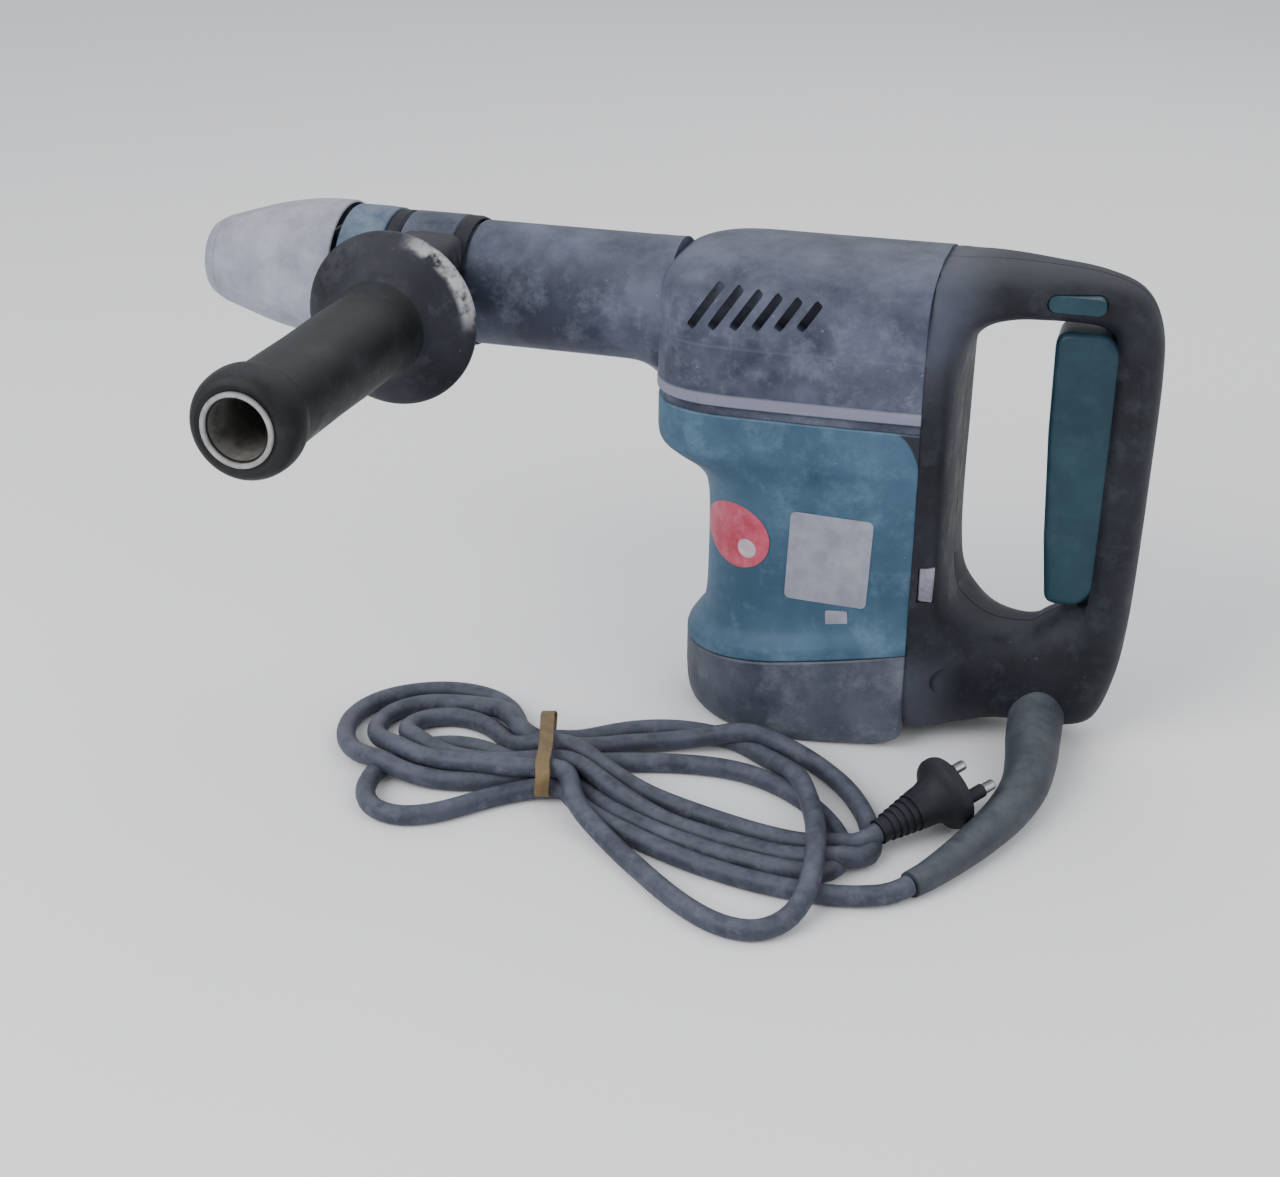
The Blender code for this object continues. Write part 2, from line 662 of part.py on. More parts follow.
def fan():
    """Disc with straight blades on its lower face."""
    bore = ARMATURE_R + GAP
    disc = turned("cooling_fan", ring(bore, 38, 111, 113.5), "black")
    blades = []
    for index in range(FAN_BLADES):
        middle = 2 * math.pi * index / FAN_BLADES
        for radius, offset in ((9.5, -1.0), (37, -0.8), (37, 0.8), (9.5, 1.0)):
            angle = middle + offset / radius
            blades.append((radius * math.cos(angle), radius * math.sin(angle)))
    star = plate("fan_blades", blades, 104, 112)
    boolean(star, rod("fan_bore", (0, 0, 100), (0, 0, 120), bore + 0.6, steps=20))
    boolean(disc, star, "UNION")


# ----------------------------------------------------------------- gear train

def gear_case():
    """Cup that carries the shafts, and the plate that closes it."""
    inset = WALL + 2.2
    case_heights = (127.0, 138.0, HOUSING_SPLIT_Z - GAP)
    levels = [level for level in MOTOR_LEVELS if level[0] in case_heights]
    rings = [body_ring(124.2, 53.0, 45.5, 43.8, -6.0, 2.2, inset=inset)]
    rings += [body_ring(z, front, half, rear_half, centre, squareness, inset=inset)
              for z, front, half, rear_half, centre, squareness, _ in levels]
    case_wall = 2.6
    cup = skin("gear_case", rings, "aluminium", closed=(True, False), wall=case_wall)
    lid_inset = inset + case_wall + GAP
    lid = skin("gear_case_cover",
               [body_ring(z, BODY_FRONT, BODY_HALF, 47.5, -20.0, 3.0, inset=lid_inset)
                for z in (150.0, 155.0)], "aluminium")
    bores = ((0.0, 8.0, 9.0), (GEAR_CENTRES, 9.0, 13.0 + GAP), (-GEAR_CENTRES, 6.0, 5.0 + GAP))
    for x, low_r, high_r in bores:
        boolean(cup, rod(f"case_bore_{x}", (x, 0, 120), (x, 0, 130), low_r + GAP))
        boolean(lid, rod(f"lid_bore_{x}", (x, 0, 148), (x, 0, 160), high_r))


def crank():
    at = (GEAR_CENTRES, 0)
    half_pitch = math.pi / GEAR_TEETH
    turned("crank_shaft", [(0, 178), (19, 178), (19, 170), (7, 170), (7, 128), (0, 128)],
           "steel", at=(*at, 0))
    spur_gear("crank_gear", GEAR_TEETH, 134, 146, at, 7.3, half_pitch)
    turned("crank_bearing", ring(7.3, 13, 148.5, 157), "steel", at=(*at, 0))


def bevel_drive():
    at = (-GEAR_CENTRES, 0)
    half_pitch = math.pi / GEAR_TEETH
    spur_gear("bevel_shaft_gear", GEAR_TEETH, 134, 144, at, 5.3, half_pitch)
    far = RING_R * 0.82
    gear_z = BARREL_Z - RING_R
    cone = []
    for z, scale in ((gear_z, 1.0), (BARREL_Z - far, 0.82)):
        cone.append([(x * scale + at[0], y * scale, z)
                     for x, y in gear_outline(BEVEL_TEETH, BEVEL_R, 0.0, 0.8, 1.3)])
    teeth = skin("bevel_pinion", cone, "steel")
    boolean(teeth, rod("bevel_stem", (*at, 128), (*at, gear_z + 1), 5.0), "UNION")
    crown = []
    face = -GEAR_CENTRES - BEVEL_R
    for step in range(RING_TEETH * 4):
        tooth, corner = divmod(step, 4)
        share = (-0.29, -0.12, 0.12, 0.29)[corner]
        lift = (-1.3, 0.8, 0.8, -1.3)[corner]
        angle = 2 * math.pi * (tooth + 0.5 + share) / RING_TEETH - math.pi / 2
        profile = ((19.3, face - 7), (RING_R + 0.6, face - 7), (RING_R + 0.2, face + lift),
                   (far, face + 0.18 * BEVEL_R + lift * 0.82), (19.3, face - 1.5))
        crown.append([(x, radius * math.cos(angle), radius * math.sin(angle))
                      for radius, x in reversed(profile)])
    skin("spindle_ring_gear", crown, "steel", wrap=True, at=(0, 0, BARREL_Z))


# ------------------------------------------------------------ hammer mechanism

def hammer_mechanism():
    crown, skirt, hollow = GUDGEON_X - 24, GUDGEON_X + 12, GUDGEON_X - 14
    piston = turned_x("piston", [(0, crown), (PISTON_R, crown), (PISTON_R, skirt), (11.5, skirt),
                                 (11.5, hollow), (0, hollow)], "aluminium")
    boolean(piston, rod("gudgeon_bore", (GUDGEON_X, 0, 170), (GUDGEON_X, 0, 212), PIN_R + GAP))
    rod("gudgeon_pin", (GUDGEON_X, 0, BARREL_Z - 14), (GUDGEON_X, 0, BARREL_Z + 14), PIN_R,
        "steel")
    connecting_rod()
    rod("crank_pin", (CRANK_PIN_X, 0, 178.5), (CRANK_PIN_X, 0, 200), CRANK_PIN_R, "steel")
    turned_x("striker", [(0, -112), (8, -112), (8, -106), (PISTON_R, -106), (PISTON_R, -84),
                         (0, -84)], "steel")
    turned_x("impact_bolt", [(0, -186), (8.6, -186), (8.6, -168), (11.6, -168), (11.6, -158),
                             (8.6, -158), (8.6, -132), (0, -132)], "steel")
    turned_x("spindle_cylinder", ring_x(PISTON_R + GAP, 19, -150, -16), "dark_steel")
    holder = [(16, -285), (16, -222), (20, -220), (22, -212), (22, -150.3), (12, -150.3),
              (12, -178), (9.2, -182), (9.2, -285)]
    tool_holder = turned_x("tool_holder", holder, "dark_steel")
    for side, letter in ((-1, "a"), (1, "b")):
        boolean(tool_holder, rod(f"roller_slot_{letter}", (-262, side * 11.6, BARREL_Z),
                                 (-236, side * 11.6, BARREL_Z), 3.9, steps=16))
        rod(f"locking_roller_{letter}", (-258, side * 11.6, BARREL_Z),
            (-240, side * 11.6, BARREL_Z), 3.5, "steel", steps=16)
    turned_x("spindle_bearing", ring_x(22.3, 24.5, -172, -160), "steel")


def ring_x(inner, outer, nose_end, rear_end):
    return [(outer, nose_end), (outer, rear_end), (inner, rear_end), (inner, nose_end)]


def connecting_rod():
    at = (GUDGEON_X, 0)
    small = [(8 * math.cos(a), 8 * math.sin(a))
             for a in (math.radians(40 + 280 * step / 16) for step in range(17))]
    big = [(ROD_LENGTH + 9.5 * math.cos(a), 9.5 * math.sin(a))
           for a in (math.radians(-145 + 290 * step / 16) for step in range(17))]
    arm = plate("connecting_rod", small + big, 184.5, 197.5, "steel", at=at)
    for x, radius in ((GUDGEON_X, PIN_R), (CRANK_PIN_X, CRANK_PIN_R)):
        eye = rod(f"rod_eye_{radius}", (x, 0, 180), (x, 0, 205), radius + GAP, steps=20)
        eye.rotation_euler.z = math.radians(4)     # no corner on the rod's middle line
        boolean(arm, eye)
    return arm


# ------------------------------------------------------------------------ nose

def nose():
    turned_x("front_dust_cap", [(16.2, NOSE_X), (17.6, NOSE_X + 1), (19.3, NOSE_X + 4),
                                (20.3, NOSE_X + 6.2), (9.4, NOSE_X + 6.2), (9.4, NOSE_X)],
             "rubber")
    sleeve = [(20.4, -285.5), (22.2, -280), (25.2, -270), (28.0, -260.5), (30.2, -250),
              (31.8, -240), (32.4, -232), (32.4, -221.8), (31.4, -221.8), (31.4, -231),
              (29, -234), (22, -262), (16.4, -275), (16.4, -285.5)]
    turned_x("release_sleeve", sleeve, "nose_grey")
    turned_x("angle_ring", [(31.0, -219.8), (31.0, -205), (30.6, -198.4), (26, -198.4),
                            (26, -219.8)], "blue_ring")
    turns, start, end = 4.0, -256.0, -224.0
    coil = []
    for step in range(int(turns * 10) + 1):
        share = step / (turns * 10)
        angle = 2 * math.pi * turns * share
        radius = 18.0 + 3.0 * share
        coil.append((start + (end - start) * share, radius * math.cos(angle),
                     BARREL_Z + radius * math.sin(angle)))
    tube("sleeve_spring", coil, 0.9, "steel", sides=1)


# ----------------------------------------------------------------- side handle

def side_handle():
    """Band round the barrel, a base that clamps it, and the grip that is screwed to the base."""
    turned_x("clamp_band", ring_x(CLAMP_INNER_R, CLAMP_OUTER_R, -190.8, -165.0), "dusty_grey")
    levels = (     # distance from the hammer axis, half length along X, half height, squareness
        (20.0, 16.8, 27.0, 5.0), (34.0, 16.8, 27.0, 5.0), (46.0, 19.0, 25.0, 3.0),
        (56.0, 22.0, 23.5, 2.3), (61.0, 23.0, 23.0, 2.0),
    )
    rings = []
    for out, half_x, half_z, squareness in levels:
        rings.append([(SIDE_GRIP_X + half_x * power(math.cos(a), 2 / squareness), -out,
                       SIDE_GRIP_Z + half_z * power(math.sin(a), 2 / squareness))
                      for a in (2 * math.pi * step / 24 for step in range(24))])
    base = skin("side_handle_base", rings, "black")
    boolean(base, rod("clamp_seat", (-195, 0, BARREL_Z), (-152, 0, BARREL_Z),
                      CLAMP_OUTER_R + GAP, steps=48))
    boolean(base, rod("bolt_hole", (SIDE_GRIP_X, -10, SIDE_GRIP_Z),
                      (SIDE_GRIP_X, -80, SIDE_GRIP_Z), CLAMP_BOLT_R + GAP))
    rod("clamp_bolt", (SIDE_GRIP_X, -31, SIDE_GRIP_Z), (SIDE_GRIP_X, -90, SIDE_GRIP_Z),
        CLAMP_BOLT_R, "steel")
    grip()


def grip():
    """Rubber tube with a flange at its foot, a bulge at its open end and a ring in its mouth."""
    end = SIDE_GRIP_END
    floor = end - GRIP_HOLLOW_DEPTH
    bolt_bore = CLAMP_BOLT_R + 0.4
    turned_y("side_grip", [
        (GRIP_HOLLOW_R, end - 1), (15.3, end - 1), (17.5, end - 0.4), (20.5, end - 2.5),
        (22.2, end - 7), (22.5, end - 13), (21.2, end - 19), (GRIP_R, end - 25), (GRIP_R, 88),
        (23.0, 79.5), (32.0, 74), (38.0, 69.8), (39.0, 67.5), (38.2, 65.0), (30.0, 62.8),
        (22.0, 61.4), (bolt_bore, 61.4), (bolt_bore, floor), (GRIP_HOLLOW_R, floor)],
        "rubber", steps=20)
    turned_y("grip_end_ring", ring(GRIP_HOLLOW_R + GAP, 15.0, end - 0.7, end + 0.6),
             "pale_ring", steps=28)


# ------------------------------------------------------------------ mains lead

def mains_lead():
    tube("cord_guard", GUARD_ROUTE, GUARD_ROOT_R, "rubber", sides=4,
         taper=[radius / GUARD_ROOT_R for radius in GUARD_RADII])
    tube("power_cord", smooth_path(CORD_ROUTE, 2), LEAD_R, "lead", sides=3)
    outline = [tuple(point.xy) for point in smooth_path([(x, y, 0) for x, y in HANK_OUTLINE], 2,
                                                        closed=True)]
    plate("cord_hank", outline, HANK_FLOOR, HANK_TOP, "lead", edge=2.5)
    cord_tie()
    plug()


def cord_tie():
    """Flat band around the narrow middle of the hank."""
    low, high = HANK_FLOOR - GAP, HANK_TOP + GAP
    band = []
    for spread in (0.0, 1.2):
        wide = 29.0 + spread
        band.append(rounded([(-wide, low - spread, 3), (wide, low - spread, 3),
                             (wide, high + spread, 3), (-wide, high + spread, 3)]))
    turn = Matrix.Rotation(TIE_TURN, 4, "Z")
    rings = []
    for side, path in ((-4, band[0]), (4, band[0]), (4, band[1]), (-4, band[1])):
        rings.append([turn @ Vector((side, across, z)) for across, z in reversed(path)])
    skin("cord_tie", rings, "tan_band", wrap=True, at=(*TIE_CENTRE, 0))


def plug():
    """Two-pin plug that lies on the floor, its neck toward the hank."""
    axis = PLUG_HEAD - PLUG_NECK
    turn = axis.to_track_quat("Z", "Y").to_euler()
    length = axis.length
    way = axis.normalized()
    turned("plug_body", [(0, length + 6), (15.4, length + 6), (16.4, length + 4),
                         (16.4, length + 1), (13.5, length - 1.5), (10.0, length - 5),
                         (8.8, length - 13), (6.4, length - 24), (5.6, 0.4), (0, 0.4)],
           "black", at=PLUG_NECK, turn=turn)
    sideways = axis.cross(Vector((0, 0, 1))).normalized()
    for side, letter in ((-1, "a"), (1, "b")):
        root = PLUG_HEAD + way * (6 + GAP) + sideways * side * PLUG_PIN_SPACING / 2
        rod(f"plug_pin_{letter}", root, root + way * 19, PLUG_PIN_R, "steel", steps=16)


# ---------------------------------------------------------------- small pieces

def small_pieces():
    box("indicator_lens", LENS_LOW, LENS_HIGH, "lens", edge=0.6)
    lock_button_shape("lock_button", "teal", 0.0, -24.0, -11.0)
    box("switch_body", (118, -8, 41), (137, 8, 56), "black", edge=0.8)
    px, pz = TRIGGER_PIVOT
    rod("trigger_pin", (px, -13.0, pz), (px, 13.0, pz), TRIGGER_PIN_R, "steel", steps=16)


base_cover()
motor_housing()
gear_housing()
barrel_housing()
handle_shells()
trigger()
motor()
gear_case()
crank()
bevel_drive()
hammer_mechanism()
nose()
side_handle()
mains_lead()
small_pieces()
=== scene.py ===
"""Looks of a corded rotary hammer: fine housings, worn and dusty plastics, and its tied mains lead.

Lengths are in millimetres in this file and become metres where a mesh or a curve is made.
The hammer axis runs along X with the nose at -X, and the motor axis is the world's Z.
"""

import json
import math

import bmesh
import bpy
import numpy as np
from mathutils import Matrix, Vector

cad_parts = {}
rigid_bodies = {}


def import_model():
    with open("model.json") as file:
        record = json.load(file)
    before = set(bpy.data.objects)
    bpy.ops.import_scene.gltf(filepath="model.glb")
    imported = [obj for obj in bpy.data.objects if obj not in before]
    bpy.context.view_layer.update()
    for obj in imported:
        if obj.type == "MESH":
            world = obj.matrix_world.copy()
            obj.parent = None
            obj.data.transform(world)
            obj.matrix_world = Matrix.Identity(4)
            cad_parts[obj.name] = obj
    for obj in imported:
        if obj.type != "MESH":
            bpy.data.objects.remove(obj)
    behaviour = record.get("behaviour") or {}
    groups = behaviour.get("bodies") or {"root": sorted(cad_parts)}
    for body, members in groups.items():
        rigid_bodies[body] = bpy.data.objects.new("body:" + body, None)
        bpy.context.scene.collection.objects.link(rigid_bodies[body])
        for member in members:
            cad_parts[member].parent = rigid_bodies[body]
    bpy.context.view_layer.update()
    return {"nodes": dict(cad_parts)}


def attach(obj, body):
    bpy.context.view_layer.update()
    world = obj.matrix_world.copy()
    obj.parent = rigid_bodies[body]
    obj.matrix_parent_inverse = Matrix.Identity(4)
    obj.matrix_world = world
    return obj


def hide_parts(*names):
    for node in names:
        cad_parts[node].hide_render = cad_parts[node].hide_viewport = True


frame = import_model()

MM = 0.001
BARREL_Z = 191.0           # height of the hammer axis
NOSE_X = -292.0            # front of the dust cap
BODY_FRONT = 67.0          # reach of the gear housing ahead of the motor axis
BODY_REAR = 57.0           # flat rear of the housings
BODY_HALF = 50.0           # half width of the gear housing
WAIST_R = 45.0             # radius of the motor housing's waist
WAIST_REAR = 43.5          # its half width at the rear
PARTING_Z = 41.0           # base cover to motor housing, at the motor axis
PARTING_TILT = 0.16        # rise of that joint line per millimetre to the rear
HOUSING_SPLIT_Z = 156.0    # motor housing to gear housing
SIDE_GRIP_X = -174.5
SIDE_GRIP_END = 216.0      # the side grip's end, measured from the hammer axis
GAP = 0.3                  # clearance round pieces that move

# Slanted slots of the gear housing
LOUVRES = 6
LOUVRE_X = -39.0           # middle of the foremost one
LOUVRE_PITCH = 9.2
LOUVRE_Z = 203.5
LOUVRE_REACH = 11.5        # half height of the foremost one
LOUVRE_LEAN = 34.0         # degrees
LOUVRE_DEPTH = 9.0         # below the housing's widest face
GROOVE_LOW, GROOVE_TOP = 213.4, 214.3      # a thin line above the slots

# Side elevation of the handle's loop, one row per section across it
HANDLE_FACE_X = BODY_REAR + 0.06    # the flat face that butts against the housings
HANDLE_STATIONS = (  # inner x, inner z, outer x, outer z, half thickness, squareness
    (69.5, 110, 42, 110, 43.6, 4), (69.5, 140, 42, 139, 45.9, 4),
    (69.5, 166, 42, 170, 48.2, 3.8), (70.5, 180, 44, 200, 47.6, 3),
    (74, 191.5, 52, 219.5, 44, 2.5), (80.5, 198, 67, 222.2, 38.5, 2.4),
    (90, 200.3, 84, 223, 31.5, 2.4), (101, 200.3, 102, 222.4, 25.5, 2.4),
    (115, 199.8, 124, 220.3, 20.5, 2.4), (125.5, 198.5, 141.2, 213.6, 18.2, 2.5),
    (130.5, 192, 150, 199, 17.2, 2.5), (131, 172, 152.6, 176, 17, 2.5),
    (131, 132, 152.4, 132, 17, 2.5), (131, 95, 151.8, 90, 17.5, 2.5),
    (130.5, 74, 150.6, 58, 18.5, 2.5), (126.5, 67, 147.6, 34, 19.5, 2.6),
    (119.5, 63.5, 140.6, 13.6, 20.5, 2.7), (113.5, 59.4, 128.4, 8, 21.5, 2.8),
    (108.5, 55.4, 113.4, 8.2, 22.5, 2.9), (100, 54.2, 96, 8.4, 24.5, 3),
    (89, 55.4, 80, 6.2, 30.5, 3.2), (79.5, 60.6, 66, 4.5, 37.5, 3.6),
    (72.5, 69, 50, 12, 43.4, 4), (70, 84, 44, 60, 44.6, 4.2),
)
SCREW_SEATS = ((100.0, 20.5, 209.5), (142.5, 13.0, 186.0), (142.5, 13.0, 92.0),
               (129, 14.5, 38), (97, 19, 28))   # x, depth across, height
TRIGGER_HALF = 12.7        # half width of the paddle
TRIGGER_PIVOT = (125, -12.0, 77)    # one end of its pin

# Mains lead
LEAD_R = 4.4
TIE_CENTRE = Vector((-90.6, -110.3, 0))    # where the band holds the hank
TIE_TURN = math.radians(18.4)
PLUG_NECK = Vector((62.4, -130.8, 9.6))
PLUG_HEAD = Vector((84.5, -106.0, 17.2))
FLOOR_GAP = 0.2
HELD_POINTS = 8            # the stretch that the guard holds
HELD_AT_PLUG = 4
MOTOR_CLEAR = 58.8         # from the motor axis to a strand's middle
SETTLE_ROUNDS = 420


def placed(name, data):
    """A new object in the scene."""
    thing = bpy.data.objects.new(name, data)
    bpy.context.scene.collection.objects.link(thing)
    return thing


def turns(steps):
    """The angles of equal steps round a full turn."""
    return [2 * math.pi * step / steps for step in range(steps)]


# ------------------------------------------------------------------ camera

def make_camera():
    """A camera that looks down at the tool's left side from a little behind the nose's side."""
    azimuth, elevation, roll = (math.radians(angle) for angle in (16.18, 24.79, 0.64))
    aim, distance = Vector((-0.07988, 0, 0.04453)), 0.96534
    back = Vector((math.sin(azimuth) * math.cos(elevation),
                   -math.cos(azimuth) * math.cos(elevation), math.sin(elevation)))
    level = Vector((math.cos(azimuth), math.sin(azimuth), 0))
    upward = back.cross(level)
    right = level * math.cos(roll) + upward * math.sin(roll)
    up = upward * math.cos(roll) - level * math.sin(roll)
    data = bpy.data.cameras.new("Camera")
    data.sensor_width = 36.0
    data.lens = 55.85
    camera = placed("Camera", data)
    place = aim + back * distance
    camera.matrix_world = Matrix((
        (right.x, up.x, back.x, place.x),
        (right.y, up.y, back.y, place.y),
        (right.z, up.z, back.z, place.z),
        (0, 0, 0, 1)))
    bpy.context.scene.camera = camera


# --------------------------------------------------------------- materials

def noise(tree, where, scale, detail=4.0, roughness=0.6):
    texture = tree.nodes.new("ShaderNodeTexNoise")
    texture.inputs["Scale"].default_value = scale
    texture.inputs["Detail"].default_value = detail
    texture.inputs["Roughness"].default_value = roughness
    tree.links.new(where, texture.inputs["Vector"])
    return texture.outputs["Fac"]


def step_between(tree, value, low, high, low_to=0.0, high_to=1.0):
    """Spread a value between two limits over another range."""
    ramp = tree.nodes.new("ShaderNodeMapRange")
    ramp.inputs["From Min"].default_value = low
    ramp.inputs["From Max"].default_value = high
    ramp.inputs["To Min"].default_value = low_to
    ramp.inputs["To Max"].default_value = high_to
    tree.links.new(value, ramp.inputs["Value"])
    return ramp.outputs["Result"]


def maths(tree, operation, first, second):
    node = tree.nodes.new("ShaderNodeMath")
    node.operation = operation
    for socket, value in zip(node.inputs, (first, second)):
        if isinstance(value, (int, float)):
            socket.default_value = value
        else:
            tree.links.new(value, socket)
    return node.outputs["Value"]


def mixed(tree, share, first, second):
    """Mix two colours, each an (r, g, b) or a socket."""
    node = tree.nodes.new("ShaderNodeMix")
    node.data_type = "RGBA"
    tree.links.new(share, node.inputs[0])
    for socket, value in ((node.inputs[6], first), (node.inputs[7], second)):
        if isinstance(value, tuple):
            socket.default_value = (*value, 1)
        else:
            tree.links.new(value, socket)
    return node.outputs[2]


def smooth_step(tree, value, low, high):
    share = step_between(tree, value, low, high)
    share.node.interpolation_type = "SMOOTHSTEP"
    return share


def coordinates(tree, where):
    split = tree.nodes.new("ShaderNodeSeparateXYZ")
    tree.links.new(where, split.inputs[0])
    return split.outputs["X"], split.outputs["Y"], split.outputs["Z"]


def rear_top_corner(tree, where):
    """Above and behind an arc at the motor housing's rear top corner."""
    x, _, z = coordinates(tree, where)
    total = None
    for value, start, reach in ((x, 0.044, 0.0140), (z, 0.1300, 0.0264)):
        past = maths(tree, "SUBTRACT", value, start)
        past = maths(tree, "MAXIMUM", past, 0.0)
        past = maths(tree, "DIVIDE", past, reach)
        past = maths(tree, "MULTIPLY", past, past)
        total = past if total is None else maths(tree, "ADD", total, past)
    return smooth_step(tree, total, 0.96, 1.06)


def beside_housings(tree, where):
    """The top and the foot of the handle, where it carries on from the housings."""
    x, _, z = coordinates(tree, where)
    behind = smooth_step(tree, x, 0.058, 0.088)
    high = smooth_step(tree, z, 0.160, 0.205)
    ahead = maths(tree, "SUBTRACT", 1.0, behind)
    top = maths(tree, "MULTIPLY", ahead, high)
    past_foot = smooth_step(tree, x, 0.058, 0.092)
    above_foot = smooth_step(tree, z, 0.034, 0.060)
    beyond = maths(tree, "MAXIMUM", past_foot, above_foot)
    foot = maths(tree, "SUBTRACT", 0.8, beyond)
    return maths(tree, "MAXIMUM", top, maths(tree, "MAXIMUM", foot, 0.0))


def ridge_band(tree, where):
    """The rib round the bottom of the upper housing."""
    _, _, z = coordinates(tree, where)
    above = smooth_step(tree, z, 0.1603, 0.1612)
    below = smooth_step(tree, z, 0.1650, 0.1662)
    return maths(tree, "SUBTRACT", above, below)


def rim_painted_highlight(tree, where):
    """A painted highlight: a pale crescent, broken up by noise, on the upper rear rim of the side
    grip's flange.
    """
    x, _, z = coordinates(tree, where)
    x = maths(tree, "SUBTRACT", x, SIDE_GRIP_X * MM)
    z = maths(tree, "SUBTRACT", z, BARREL_Z * MM)
    squares = maths(tree, "ADD", maths(tree, "MULTIPLY", x, x), maths(tree, "MULTIPLY", z, z))
    out = maths(tree, "POWER", squares, 0.5)
    toward = maths(tree, "ADD", maths(tree, "MULTIPLY", x, 0.78),
                   maths(tree, "MULTIPLY", z, 0.62))
    toward = maths(tree, "DIVIDE", toward, out)
    rim = smooth_step(tree, out, 0.0335, 0.0365)
    facing = smooth_step(tree, toward, 0.72, 0.95)
    breaks = step_between(tree, noise(tree, where, 160.0), 0.35, 0.55)
    return maths(tree, "MULTIPLY", maths(tree, "MULTIPLY", rim, facing), breaks)


def worn(name, base, other, dust=(0.42, 0.41, 0.42), dusty=0.5, specks=0.3, rough=(0.45, 0.75),
         grain=900.0, bump=0.12, metallic=0.0, smear_scale=28.0, top_dust=0.6, shine=0.25,
         patch=None, patch_colour=(0, 0, 0)):
    """A used surface: two tones in clouds, dust smears and dust on what faces up, pale specks."""
    material = bpy.data.materials.new(name)
    material.use_nodes = True
    tree = material.node_tree
    shader = tree.nodes["Principled BSDF"]
    where = tree.nodes.new("ShaderNodeTexCoord").outputs["Object"]
    clouds = noise(tree, where, smear_scale, 6.0, 0.62)
    tone = mixed(tree, step_between(tree, clouds, 0.38, 0.64), base, other)
    if patch:
        tone = mixed(tree, patch(tree, where), tone, patch_colour)
    patches = noise(tree, where, smear_scale * 2.3, 8.0, 0.72)
    smears = step_between(tree, patches, 0.5, 0.78, 0.0, dusty)
    normal = tree.nodes.new("ShaderNodeNewGeometry").outputs["Normal"]
    _, _, upward = coordinates(tree, normal)
    upward = step_between(tree, upward, 0.35, 1.0, 0.0, top_dust)
    upward = maths(tree, "MULTIPLY", upward, step_between(tree, patches, 0.3, 0.62))
    dirt = maths(tree, "MAXIMUM", smears, upward)
    tone = mixed(tree, dirt, tone, dust)
    fine = noise(tree, where, 420.0, 3.0, 0.7)
    flecks = step_between(tree, fine, 0.70, 0.76, 0.0, specks)
    tone = mixed(tree, flecks, tone, tuple(min(1.0, c * 1.35) for c in dust))
    tree.links.new(tone, shader.inputs["Base Color"])
    tree.links.new(step_between(tree, patches, 0.3, 0.7, *rough), shader.inputs["Roughness"])
    shader.inputs["Metallic"].default_value = metallic
    shader.inputs["Specular IOR Level"].default_value = 0.5 if metallic else shine
    bumps = tree.nodes.new("ShaderNodeBump")
    bumps.inputs["Strength"].default_value = bump
    bumps.inputs["Distance"].default_value = 0.0004
    tree.links.new(noise(tree, where, grain, 2.0, 0.5), bumps.inputs["Height"])
    tree.links.new(bumps.outputs["Normal"], shader.inputs["Normal"])
    return material


